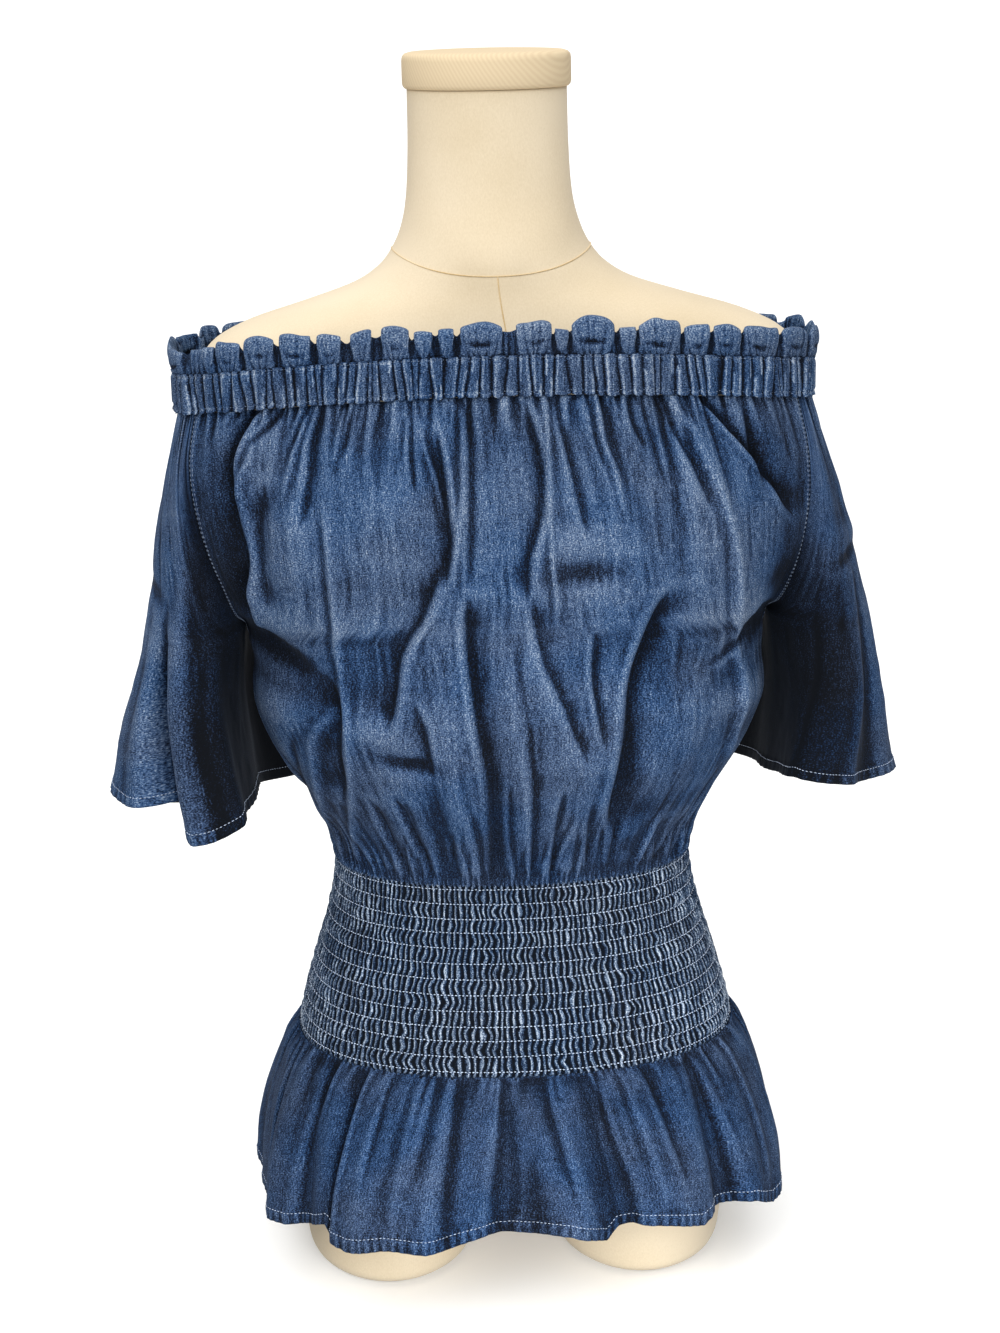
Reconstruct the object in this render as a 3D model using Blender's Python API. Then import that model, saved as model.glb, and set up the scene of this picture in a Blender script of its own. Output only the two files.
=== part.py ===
"""Off-the-shoulder peasant blouse with a shirred waist, worn on a limbless dress form.

Lengths below are in millimetres and become metres when a mesh is made.  +Z is up and the
blouse faces -Y, so the wearer's right sleeve is at -X.  The form stands on the flat ends
of its two thigh stubs at z = 0.

Every cloth piece is a wall: a grid of outer points, and a grid of inner points behind it.
Rows run down the garment and columns run counter-clockwise seen from above.
"""
from collections import namedtuple
from math import asin, cos, degrees, exp, pi, radians, sin

import bpy
from mathutils import Vector

MM = 0.001
SEAM_GAP = 0.3             # between pieces that are sewn to each other
CLOTH = 1.5                # wall of the blouse's single cloth
HEM_CLOTH = 2.2            # wall where the hem is turned up
RUFFLE_CLOTH = 1.3
FORM_CLEARANCE = 0.7       # from the form to the shirred waist that grips it
FRONT_RAISE = 18.0         # the blouse sits this much higher at the front than at the sides
BACK_RAISE = 4.0

NECK_TOP = 787.7
CAP_BOTTOM = 788.0
CASING_BOTTOM = 592.3
CASING_TOP = 615.7
RUFFLE_BOTTOM = 616.0
RUFFLE_HEIGHT = 19.0
UNDERARM = 448.0
WAIST_TOP = 274.0
STITCH_ROWS = 13
STITCH_PITCH = 9.8
WAIST_MARGIN = 3.0         # cloth above the first and below the last row of stitches
WAIST_BOTTOM = WAIST_TOP - STITCH_PITCH * (STITCH_ROWS - 1) - 2 * WAIST_MARGIN
PEPLUM_DROP = 103.0
FORM_SIDES = 32

FormSection = namedtuple("FormSection", "z half_width front back power sideways")
FORM = [
    FormSection(NECK_TOP, 50.0, 43.0, 57.0, 2.0, -6.0),
    FormSection(752, 50.5, 44.0, 58.0, 2.0, -6.0),
    FormSection(722, 52.5, 46.0, 60.0, 2.0, -6.0),
    FormSection(704, 56.5, 49.0, 63.0, 2.0, -5.6),
    FormSection(690, 63.0, 52.0, 66.0, 2.0, -5.4),
    FormSection(678, 73.0, 55.0, 70.0, 2.1, -5.0),
    FormSection(667, 91.0, 58.0, 73.0, 2.2, -4.6),
    FormSection(656, 124.0, 62.0, 76.0, 2.3, -4.0),
    FormSection(645, 160.0, 66.0, 79.0, 2.4, -3.4),
    FormSection(633, 183.0, 70.0, 81.0, 2.4, -2.2),
    FormSection(615, 193.0, 76.0, 83.0, 2.4, -1.0),
    FormSection(578, 189.0, 91.0, 88.0, 2.4, 0.0),
    FormSection(535, 173.0, 109.0, 92.0, 2.4, 0.0),
    FormSection(495, 160.0, 117.0, 93.0, 2.4, 0.0),
    FormSection(450, 146.0, 112.0, 91.0, 2.4, 0.0),
    FormSection(400, 131.0, 100.0, 86.0, 2.3, 0.0),
    FormSection(345, 120.0, 91.0, 80.0, 2.2, 0.0),
    FormSection(310, 116.5, 88.5, 79.0, 2.2, 0.0),
    FormSection(285, 116.0, 88.0, 81.0, 2.2, 0.0),
    FormSection(262, 119.0, 90.5, 86.0, 2.2, 0.0),
    FormSection(240, 124.5, 95.0, 93.0, 2.2, 0.0),
    FormSection(216, 132.0, 101.0, 102.0, 2.2, 0.0),
    FormSection(192, 139.0, 107.0, 110.0, 2.2, 0.0),
    FormSection(166, 145.0, 112.0, 118.0, 2.2, 0.0),
    FormSection(138, 152.0, 115.0, 123.0, 2.2, 0.0),
    FormSection(110, 157.0, 115.0, 123.0, 2.2, 0.0),
    FormSection(85, 158.0, 112.0, 118.0, 2.2, 0.0),
]

ThighSection = namedtuple("ThighSection", "z roundness half_width half_depth")
THIGH_X = {1: 82.0, -1: 90.0}    # the form stands a little to its right
THIGH_Y = 2.0
CROTCH_ARCH = 5.0
CROTCH_POINTS = 3
THIGHS = [
    ThighSection(72, 0.40, 72.0, 107.0),
    ThighSection(56, 0.80, 66.0, 98.0),
    ThighSection(36, 1.00, 61.5, 88.0),
    ThighSection(14, 1.00, 59.0, 82.0),
    ThighSection(4, 1.00, 56.5, 79.0),
    ThighSection(0, 1.00, 50.0, 72.0),
]

CapSection = namedtuple("CapSection", "z half_width front back")
CAP_SIDEWAYS = -6.0        # the neck and its cap sit a little off the shoulders' middle
CAP = [
    CapSection(810, 45.0, 38.0, 52.0),
    CapSection(808, 50.0, 43.0, 57.0),
    CapSection(803, 52.8, 46.0, 60.0),
    CapSection(791, 52.8, 46.0, 60.0),
    CapSection(CAP_BOTTOM, 51.0, 44.0, 58.0),
]
CAP_SIDES = 24

# The blouse's body.  seam_x and seam_y place the armhole seam above the underarm and the
# side seam below it, and bow is how far round its arc, in degrees, a panel has turned
# where it meets that seam.  sideways moves the whole row, sleeves too.
BodyRow = namedtuple("BodyRow", "z seam_x seam_y front back bow sideways")
BODY = [
    BodyRow(592, 190.0, 38.0, 93.0, 92.0, 68.0, -5.0),
    BodyRow(562, 195.0, 47.0, 107.0, 97.0, 68.0, -4.5),
    BodyRow(534, 194.5, 52.0, 122.0, 102.0, 68.0, -3.0),
    BodyRow(506, 189.5, 53.0, 131.0, 105.0, 70.0, -1.5),
    BodyRow(480, 182.5, 45.0, 135.0, 107.0, 75.0, 0.0),
    BodyRow(460, 176.5, 29.0, 136.5, 107.6, 81.0, 0.0),
    BodyRow(UNDERARM, 172.0, 0.0, 137.0, 108.0, 90.0, 0.0),
    BodyRow(424, 166.0, 0.0, 139.0, 110.0, 90.0, 0.0),
    BodyRow(398, 167.0, 0.0, 140.0, 112.0, 90.0, 0.0),
    BodyRow(372, 160.5, 0.0, 136.0, 110.0, 90.0, 0.0),
    BodyRow(346, 149.0, 0.0, 126.0, 104.0, 90.0, 0.0),
    BodyRow(322, 135.0, 0.0, 113.0, 97.0, 90.0, 0.0),
    BodyRow(298, 124.0, 0.0, 100.0, 88.0, 90.0, 0.0),
]
BODY_COLUMNS = 26
BODY_POWER = 2.2           # how full the body's sections are: 2 is an ellipse
UNDERARM_ROW = [row.z for row in BODY].index(UNDERARM)

# A sleeve's cross-section is an ellipse through the armhole seam, outer to inner, whose
# front and back swing in around the body by wrap_front and wrap_back.
SleeveRow = namedtuple("SleeveRow", "z outer inner half_depth wrap_front wrap_back")
SLEEVE = [
    SleeveRow(592, 203.5, None, 38.0, 0.0, 0.0),
    SleeveRow(562, 211.0, None, 48.0, 0.0, 0.0),
    SleeveRow(534, 219.0, None, 55.0, 0.0, 0.0),
    SleeveRow(506, 226.0, None, 60.0, 0.0, 0.0),
    SleeveRow(480, 230.5, None, 65.0, 0.0, 0.0),
    SleeveRow(460, 234.5, None, 68.0, 0.0, 0.0),
    SleeveRow(UNDERARM, 237.0, 172.0, 70.0, 0.0, 6.0),
    SleeveRow(426, 241.0, 173.5, 75.0, 2.0, 28.0),
    SleeveRow(402, 247.0, 175.0, 80.0, 6.0, 41.0),
    SleeveRow(378, 253.0, 174.0, 85.0, 12.0, 54.0),
    SleeveRow(354, 258.0, 172.0, 90.0, 18.0, 60.0),
    SleeveRow(332, 262.0, 170.0, 94.0, 24.0, 64.0),
    SleeveRow(324, 264.0, 169.0, 96.0, 26.0, 65.0),
]
SLEEVE_COLUMNS = 20
WRAP_CALM = radians(75)        # the wrap runs out this far from the armhole seam
SLEEVE_HEM = {"right": 334.0, "left": 376.0}       # the hem's height beside the body
HEM_DIP_OUTER = {"right": 3.0, "left": 38.0}       # how much lower the hem is outside
HEM_DIP_BACK = {"right": 28.0, "left": 40.0}       # and how much lower at the back
SLEEVE_SWING = {"right": 2.0, "left": -8.0}        # how far the hem hangs out

# Folds that run down the bodice: top and bottom (x, z), how far they rise from the cloth
# (or sink, below zero) and how wide they are.
BodiceFold = namedtuple("BodiceFold", "top bottom rise width")
FRONT_FOLDS = [
    BodiceFold((-108, 552), (-100, 349), 4.0, 9.0),
    BodiceFold((-152, 520), (-128, 330), -3.5, 13.0),
    BodiceFold((-36, 500), (-72, 433), -5.0, 13.0),
    BodiceFold((-61, 430), (-50, 320), -3.5, 12.0),
    BodiceFold((-28, 564), (-12, 330), -4.5, 11.0),
    BodiceFold((4, 560), (10, 400), 3.5, 13.0),
    BodiceFold((21, 563), (62, 393), -4.0, 12.0),
    BodiceFold((105, 485), (63, 318), -5.5, 14.0),
    BodiceFold((84, 540), (96, 380), 3.0, 14.0),
    BodiceFold((141, 520), (147, 410), 4.0, 10.0),
]
BACK_FOLDS = [
    BodiceFold((-150, 540), (-118, 340), 4.0, 12.0),
    BodiceFold((-104, 560), (-84, 330), -5.0, 13.0),
    BodiceFold((-58, 470), (-40, 320), 4.0, 12.0),
    BodiceFold((-14, 565), (-20, 370), -4.5, 12.0),
    BodiceFold((36, 540), (22, 330), 3.5, 13.0),
    BodiceFold((80, 560), (58, 400), -4.5, 13.0),
    BodiceFold((96, 430), (92, 318), -4.0, 12.0),
    BodiceFold((146, 530), (126, 340), 4.0, 12.0),
]
FOLD_FADE = 26.0           # length over which a fold runs out at each end
GATHER_RISE = 1.2          # small gathers beside the casing and the shirring
GATHER_REACH = 46.0
SLEEVE_SEAM_CALM = radians(40)   # a sleeve's folds run out this far from its seam

# Folds of a sleeve by the angle from its outer side, where below zero is to the front.
SleeveFold = namedtuple("SleeveFold", "around half_angle rise")
SLEEVE_FOLDS = {
    "right": [
        SleeveFold(-22, 15, 3.0),
        SleeveFold(-52, 13, -9.0),
        SleeveFold(-88, 20, 6.0),
        SleeveFold(34, 16, 4.0),
        SleeveFold(68, 14, -8.0),
        SleeveFold(104, 18, 5.0),
    ],
    "left": [
        SleeveFold(-14, 17, 2.0),
        SleeveFold(-46, 14, -6.0),
        SleeveFold(-84, 20, 5.0),
        SleeveFold(28, 15, 4.0),
        SleeveFold(60, 13, -8.0),
        SleeveFold(98, 20, 5.0),
    ],
}

PeplumRow = namedtuple("PeplumRow", "drop half_width front back power")
PEPLUM = [
    PeplumRow(16, 160.0, 120.5, 128.5, 2.25),
    PeplumRow(42, 170.0, 129.0, 136.0, 2.35),
    PeplumRow(70, 176.5, 136.0, 144.0, 2.5),
    PeplumRow(95, 178.5, 141.0, 150.0, 2.6),
    PeplumRow(PEPLUM_DROP, 178.5, 142.0, 151.0, 2.6),
]
PEPLUM_COLUMNS = 38

# Folds of the peplum by the angle round the body: 0 is +X, 90 the back and 270 the front.
PeplumFold = namedtuple("PeplumFold", "around half_angle rise")
PEPLUM_FOLDS = [
    PeplumFold(14, 7, 4.0),
    PeplumFold(27, 5, -7.0),
    PeplumFold(41, 8, 8.0),
    PeplumFold(55, 5, -9.0),
    PeplumFold(70, 8, 9.0),
    PeplumFold(84, 5, -9.0),
    PeplumFold(99, 9, 10.0),
    PeplumFold(114, 5, -8.0),
    PeplumFold(128, 8, 8.0),
    PeplumFold(142, 5, 2.0),
    PeplumFold(157, 5, -4.0),
    PeplumFold(173, 6, 7.0),
    PeplumFold(188, 6, -3.0),
    PeplumFold(203, 7, 6.0),
    PeplumFold(218, 6, -7.0),
    PeplumFold(238, 9, 11.0),
    PeplumFold(254, 8, 11.0),
    PeplumFold(267, 5, -13.0),
    PeplumFold(276, 5, 13.0),
    PeplumFold(287, 5, -11.0),
    PeplumFold(300, 6, 3.0),
    PeplumFold(312, 5, -9.0),
    PeplumFold(325, 7, 4.0),
    PeplumFold(342, 7, 5.0),
]

CASING_GATHERS = 62
CASING_WALL = 1.2          # from the ring's middle line to the casing's plain inside
CASING_RELIEF = 0.8
RUFFLE_WAVES = 29
RUFFLE_SWING = 4.2
SHIRR_COLUMNS = 2 * FORM_SIDES
SHIRR_LOW = 1.7            # wall at the stitches and between the puffs
SHIRR_HIGH = 3.0           # wall at a puff's top
SHIRR_INNER_ROWS = 6
SEAT = 2.7                 # outer face of what is sewn to the shirring, like its thickness
SEAT_GATHER = 0.8

DENIM = (0.052, 0.098, 0.205, 1.0)
DENIM_WORN = (0.085, 0.135, 0.235, 1.0)
FORM_CREAM = (0.83, 0.74, 0.56, 1.0)
CAP_CREAM = (0.80, 0.72, 0.56, 1.0)


# ---------------------------------------------------------------- sections and curves

def section_at(table, key, place):
    """A table's row at a place along its key column, on a smooth curve through the rows."""
    rows = sorted(table, key=lambda row: getattr(row, key))
    keys = [getattr(row, key) for row in rows]
    place = min(max(place, keys[0]), keys[-1])
    i = max(k for k in range(len(keys) - 1) if keys[k] <= place)
    span = keys[i + 1] - keys[i]
    t = (place - keys[i]) / span
    values = {}
    for field in rows[0]._fields:
        column = [getattr(row, field) for row in rows]
        rise = column[i + 1] - column[i]
        start = end = rise / span
        if i > 0:
            start = (column[i + 1] - column[i - 1]) / (keys[i + 1] - keys[i - 1])
        if i + 2 < len(keys):
            end = (column[i + 2] - column[i]) / (keys[i + 2] - keys[i])
        bend_in = span * start - rise
        bend_out = span * end - rise
        values[field] = (column[i] + rise * t
                         + t * (1 - t) * (bend_in * (1 - t) - bend_out * t))
    return rows[0]._replace(**values)


def oval_point(section, angle, clearance=0.0):
    """The (x, y) of a section at an angle, moved straight out from it by a clearance."""
    c, s = cos(angle), sin(angle)
    depth = section.front if s < 0 else section.back
    x = section.half_width * abs(c) ** (2 / section.power)
    y = depth * abs(s) ** (2 / section.power)
    slope = Vector(((x / section.half_width) ** (section.power - 1) / section.half_width,
                    (y / depth) ** (section.power - 1) / depth))
    moved = Vector((x, y)) + clearance * slope.normalized()
    return (moved.x if c >= 0 else -moved.x), (moved.y if s >= 0 else -moved.y)


def raised(y, front, back):
    """How much higher than at the sides the blouse sits at a place this far front or back."""
    if y < 0:
        return FRONT_RAISE * min(1.0, y / front) ** 2
    return BACK_RAISE * min(1.0, y / back) ** 2


def bump(distance, half_width):
    return exp(-(distance / half_width) ** 2)


def ramp(value, start, end):
    """0 before start and 1 past end, with a soft turn at both."""
    t = min(1.0, max(0.0, (value - start) / (end - start)))
    return t * t * (3 - 2 * t)


def ring_angles(count):
    return [2 * pi * k / count for k in range(count)]


# ---------------------------------------------------------------- meshes

def clean_object(name, points, faces, colour, roughness):
    """An object with its own material, from points in millimetres."""
    mesh = bpy.data.meshes.new(name)
    mesh.from_pydata([point * MM for point in points], [], faces)
    mesh.validate()
    mesh.shade_smooth()
    mesh.set_sharp_from_angle(angle=radians(50))
    material = bpy.data.materials.new(name)
    material.use_nodes = True
    shader = material.node_tree.nodes["Principled BSDF"]
    shader.inputs["Base Color"].default_value = colour
    shader.inputs["Roughness"].default_value = roughness
    mesh.materials.append(material)
    item = bpy.data.objects.new(name, mesh)
    bpy.context.collection.objects.link(item)
    return item


class Solid:
    """Points and faces of one closed piece, with points at the same place used once."""

    def __init__(self):
        self.points = []
        self.faces = []
        self.index = {}

    def point(self, position):
        key = tuple(round(value, 4) for value in position)
        if key not in self.index:
            self.index[key] = len(self.points)
            self.points.append(Vector(position))
        return self.index[key]

    def face(self, corners):
        ids = []
        for corner in corners:
            number = self.point(corner)
            if number not in ids:
                ids.append(number)
        if len(ids) > 2:
            self.faces.append(ids)

    def grid(self, rows, around, outward=True):
        """Quads over rows of points; around joins the last column to the first."""
        width = len(rows[0])
        for upper, lower in zip(rows, rows[1:]):
            for j in range(width if around else width - 1):
                k = (j + 1) % width
                corners = [upper[j], lower[j], lower[k], upper[k]]
                self.face(corners if outward else corners[::-1])

    def strip(self, first, second):
        """Triangles between two paths that run side by side, first on the left."""
        i = j = 0
        while i < len(first) - 1 or j < len(second) - 1:
            step_first = (i + 1) / max(1, len(first) - 1)
            step_second = (j + 1) / max(1, len(second) - 1)
            if j == len(second) - 1 or (i < len(first) - 1 and step_first <= step_second):
                self.face([first[i], second[j], first[i + 1]])
                i += 1
            else:
                self.face([first[i], second[j], second[j + 1]])
                j += 1


def wall_solid(outer, inner, around, open_rows=None):
    """A closed wall from its outer and inner rows, which may differ in number.

    A wall that doesn't go around has two side edges, down its first open_rows rows.
    """
    solid = Solid()
    solid.grid(outer, around)
    solid.grid(inner, around, outward=False)

    def path(row):
        return row + row[:1] if around else row

    solid.strip(path(inner[0]), path(outer[0]))
    solid.strip(path(outer[-1]), path(inner[-1]))
    if not around:
        sides_out = outer[:open_rows]
        sides_in = inner[:open_rows]
        solid.strip([row[0] for row in sides_out], [row[0] for row in sides_in])
        solid.strip([row[-1] for row in sides_in], [row[-1] for row in sides_out])
    return solid


def out_directions(sheets):
    """Outward directions at the points of sheets, shared evenly where sheets meet."""
    totals = {}

    def key(point):
        return tuple(round(value, 3) for value in point)

    for rows in sheets:
        own = {}
        for upper, lower in zip(rows, rows[1:]):
            for j in range(len(upper) - 1):
                corners = [upper[j], lower[j], lower[j + 1], upper[j + 1]]
                normal = (corners[2] - corners[0]).cross(corners[3] - corners[1])
                for corner in corners:
                    own[key(corner)] = own.get(key(corner), Vector()) + normal
        for place, normal in own.items():
            totals[place] = totals.get(place, Vector()) + normal.normalized()
    return lambda point: totals[key(point)].normalized()


def level_edge(inner_row, outer_row):
    """Squares a wall's edge, so that the piece sewn to it meets it all through."""
    for point, edge in zip(inner_row, outer_row):
        point.z = edge.z


def trimmed(rows, sides, directions):
    """The rows with half a seam gap taken off each end of those numbered in sides."""
    result = [list(row) for row in rows]
    for i in sides:
        for edge, beside in ((0, 1), (-1, -2)):
            step = rows[i][beside] - rows[i][edge]
            step -= step.project(directions[i][edge])
            result[i][edge] = rows[i][edge] + step.normalized() * SEAM_GAP / 2
    return result


# ---------------------------------------------------------------- dress form

def form_ring(section, sides):
    ring = []
    for angle in ring_angles(sides):
        x, y = oval_point(section, angle)
        ring.append(Vector((x + section.sideways, y, section.z)))
    return ring


def thigh_rings(side, torso_edge):
    """Rings from one half of the torso's lower edge and the crotch line to the foot."""
    quarter = FORM_SIDES // 4
    numbers = range(-quarter, quarter + 1) if side > 0 else range(quarter, 3 * quarter + 1)
    half = [torso_edge[k % FORM_SIDES] for k in numbers]
    loop = half + crotch_line(half[-1], half[0])
    count = len(loop)
    outer_angle = 0.0 if side > 0 else pi
    rings = [loop]
    for section in THIGHS:
        ring = []
        for j, start in enumerate(loop):
            angle = outer_angle + 2 * pi * (j - (len(half) - 1) / 2) / count
            round_point = Vector((side * THIGH_X[side] + section.half_width * cos(angle),
                                  THIGH_Y + section.half_depth * sin(angle), section.z))
            mixed = start.lerp(round_point, section.roundness)
            ring.append(Vector((mixed.x, mixed.y, section.z)))
        rings.append(ring)
    return rings


def crotch_line(start, end):
    """Points between the two ends of a half ring, arched up a little."""
    points = []
    for k in range(1, CROTCH_POINTS + 1):
        t = k / (CROTCH_POINTS + 1)
        point = start.lerp(end, t)
        point.z += CROTCH_ARCH * sin(pi * t)
        points.append(point)
    return points


def build_form():
    torso = [form_ring(section, FORM_SIDES) for section in FORM]
    solid = Solid()
    solid.grid(torso, around=True)
    solid.face(torso[0])
    for side in (1, -1):
        rings = thigh_rings(side, torso[-1])
        solid.grid(rings, around=True)
        solid.face(rings[-1][::-1])
    return clean_object("form_body", solid.points, solid.faces, FORM_CREAM, 0.85)


def build_cap():
    rows = []
    for section in CAP:
        rows.append(form_ring(FormSection(*section, power=2.0, sideways=CAP_SIDEWAYS), CAP_SIDES))
    solid = Solid()
    solid.grid(rows, around=True)
    solid.face(rows[0])
    solid.face(rows[-1][::-1])
    return clean_object("form_neck_cap", solid.points, solid.faces, CAP_CREAM, 0.8)


# ---------------------------------------------------------------- bodice and sleeves

def bodice_arc(row, front, count):
    """Plain points along the front or back of the body at one row, with their directions."""
    face = -1 if front else 1
    depth = row.front if front else row.back
    bow = radians(row.bow)
    arc = []
    for j in range(count + 1):
        turn = bow * (2 * j / count - 1)
        across = (abs(sin(turn)) / sin(bow)) ** (2 / BODY_POWER)
        along = max(0.0, (cos(turn) - cos(bow)) / (1 - cos(bow))) ** (2 / BODY_POWER)
        x = row.seam_x * across * (1 if turn > 0 else -1)
        y = row.seam_y + (depth - row.seam_y) * along
        place = Vector((row.sideways - face * x, face * y))
        arc.append((place, Vector((-face * sin(turn), face * cos(turn)))))
    return arc


def fold_rise(folds, x, z):
    """How far the folds lift the bodice at a place."""
    total = 0.0
    for fold in folds:
        (x_top, z_top), (x_bottom, z_bottom) = fold.top, fold.bottom
        t = min(1.0, max(0.0, (z_top - z) / (z_top - z_bottom)))
        across = x - (x_top + (x_bottom - x_top) * t)
        inside = ramp(z, z_bottom - FOLD_FADE, z_bottom + FOLD_FADE)
        inside *= 1 - ramp(z, z_top - FOLD_FADE, z_top + FOLD_FADE)
        total += fold.rise * inside * bump(across, fold.width)
    return total


def bodice_sheet(front):
    """The front or back bodice, from the casing to the shirring."""
    folds = FRONT_FOLDS if front else BACK_FOLDS
    rows = []
    for row in BODY:
        near_edge = max(ramp(row.z, CASING_BOTTOM - GATHER_REACH, CASING_BOTTOM),
                        1 - ramp(row.z, WAIST_TOP, WAIST_TOP + GATHER_REACH))
        points = []
        for j, (place, out) in enumerate(bodice_arc(row, front, BODY_COLUMNS)):
            lift = raised(place.y, -row.front, row.back)
            off_seam = ramp(min(j, BODY_COLUMNS - j), 0, 2)
            rise = fold_rise(folds, place.x, row.z + lift)
            rise += GATHER_RISE * near_edge * (1 if j % 2 else -1)
            place = place + rise * off_seam * out
            points.append(Vector((place.x, place.y, row.z + lift)))
        rows.append(points)
    rows.append(shirring_edge(pi if front else 0.0, BODY_COLUMNS, WAIST_TOP + SEAM_GAP))
    return rows


def sleeve_arc(side, number, count):
    """Plain points round a sleeve at one row, with their directions and angles."""
    hand = 1 if side == "left" else -1
    row = SLEEVE[number]
    sideways = BODY[min(number, UNDERARM_ROW)].sideways
    if number <= UNDERARM_ROW:
        seam = BODY[number]
        opening = pi - asin(min(1.0, seam.seam_y / row.half_depth))
        half_width = (row.outer - seam.seam_x) / (1 - cos(opening))
    else:
        opening = pi
        half_width = (row.outer - row.inner) / 2
    arc = []
    for j in range(count + 1):
        around = opening * (2 * j / count - 1)
        wrap = row.wrap_back if hand * around > 0 else row.wrap_front
        wrap *= sin(around) ** 2 * ramp(opening - abs(around), 0, WRAP_CALM)
        x = row.outer - half_width + half_width * cos(around) - wrap
        y = row.half_depth * sin(around)
        place = Vector((sideways + hand * x, hand * y))
        arc.append((place, hand * Vector((cos(around), sin(around))),
                    hand * around, opening - abs(around)))
    return arc


def sleeve_sheet(side):
    """A sleeve: an open strip down to the underarm, and a closed tube below it."""
    hand = 1 if side == "left" else -1
    stretch = (UNDERARM - SLEEVE_HEM[side]) / (UNDERARM - SLEEVE[-1].z)
    rows = []
    for number, row in enumerate(SLEEVE):
        body = BODY[min(number, UNDERARM_ROW)]
        level = row.z if row.z >= UNDERARM else UNDERARM - (UNDERARM - row.z) * stretch
        seated = ramp(row.z, SLEEVE[-1].z, UNDERARM)
        looseness = 1 - ramp(row.z, SLEEVE[-1].z + 60, BODY[0].z)
        points = []
        for place, out, around, off_seam in sleeve_arc(side, number, SLEEVE_COLUMNS):
            lift = raised(place.y, -body.front, body.back) * seated
            rise = sum(fold.rise * bump(degrees(around) - fold.around, fold.half_angle)
                       for fold in SLEEVE_FOLDS[side])
            place = place + rise * looseness * ramp(off_seam, 0, SLEEVE_SEAM_CALM) * out
            outside = (1 - seated) * (1 + cos(around)) / 2
            behind = (1 - seated) * max(0.0, sin(around))
            dip = HEM_DIP_OUTER[side] * outside + HEM_DIP_BACK[side] * behind
            place.x += hand * SLEEVE_SWING[side] * outside
            points.append(Vector((place.x, place.y, level + lift - dip)))
        rows.append(points)
    return rows


def build_bodice_and_sleeves():
    sheets = {
        "bodice_front": bodice_sheet(front=True),
        "bodice_back": bodice_sheet(front=False),
        "sleeve_right": sleeve_sheet("right"),
        "sleeve_left": sleeve_sheet("left"),
    }
    out = out_directions(sheets.values())
    for name, sheet in sheets.items():
        sleeve = name.startswith("sleeve")
        sides = range(UNDERARM_ROW if sleeve else len(sheet))
        directions = [[out(point) for point in row] for row in sheet]
        directions[UNDERARM_ROW][0] = directions[UNDERARM_ROW][-1] = Vector((0, 0, -1))
        outer = trimmed(sheet, sides, directions)
        if sleeve:
            hand = 1 if sheet[0][0].x > 0 else -1
            tip = sheet[UNDERARM_ROW][0] + Vector((hand * SEAM_GAP, 0.0, -SEAM_GAP))
            outer[UNDERARM_ROW][0] = outer[UNDERARM_ROW][-1] = tip
        hems = len(sheet) - 2 if sleeve else len(sheet)
        inner = [[point - direction * (HEM_CLOTH if i >= hems else CLOTH)
                  for point, direction in zip(row, directions[i])]
                 for i, row in enumerate(outer)]
        level_edge(inner[0], outer[0])
        if not sleeve:
            level_edge(inner[-1], outer[-1])
        solid = wall_solid(outer, inner, around=False,
                           open_rows=UNDERARM_ROW + 1 if sleeve else None)
        clean_object(name, solid.points, solid.faces, DENIM, 0.85)


# ---------------------------------------------------------------- neckline

def neck_ring(count):
    """Evenly spaced places round the neckline, each with its direction out and its lift."""
    arcs = [bodice_arc(BODY[0], True, BODY_COLUMNS), sleeve_arc("left", 0, SLEEVE_COLUMNS),
            bodice_arc(BODY[0], False, BODY_COLUMNS), sleeve_arc("right", 0, SLEEVE_COLUMNS)]
    path = [point[0] for arc in arcs for point in arc[:-1]]
    lengths = [(path[(k + 1) % len(path)] - path[k]).length for k in range(len(path))]
    step = sum(lengths) / count
    places = []
    passed = 0.0
    for k, length in enumerate(lengths):
        while len(places) < count and len(places) * step <= passed + length:
            t = (len(places) * step - passed) / length
            places.append(path[k].lerp(path[(k + 1) % len(path)], t))
        passed += length
    ring = []
    for k, place in enumerate(places):
        along = places[(k + 1) % count] - places[k - 1]
        out = Vector((along.y, -along.x)).normalized()
        ring.append((place, out, raised(place.y, -BODY[0].front, BODY[0].back)))
    return ring


def build_casing():
    """The elastic casing: its gathers stand out between and beside two stitch lines."""
    levels = [(CASING_TOP, 0.5), (CASING_TOP - 3.2, 0.0), ((CASING_TOP + CASING_BOTTOM) / 2, 1.0),
              (CASING_BOTTOM + 3.6, 0.0), (CASING_BOTTOM, 0.5)]
    ring = neck_ring(2 * CASING_GATHERS)
    outer = []
    for z, puff in levels:
        row = []
        for k, (place, out, lift) in enumerate(ring):
            relief = CASING_RELIEF * (puff * 1.4 if k % 2 else 0.2 * puff)
            spot = place + out * (CASING_WALL * 0.6 + relief)
            row.append(Vector((spot.x, spot.y, z + lift)))
        outer.append(row)
    inner = []
    for z in (CASING_TOP, CASING_BOTTOM):
        row = []
        for place, out, lift in ring:
            spot = place - out * CASING_WALL
            row.append(Vector((spot.x, spot.y, z + lift)))
        inner.append(row)
    solid = wall_solid(outer, inner, around=True)
    return clean_object("neck_casing", solid.points, solid.faces, DENIM_WORN, 0.85)


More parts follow.
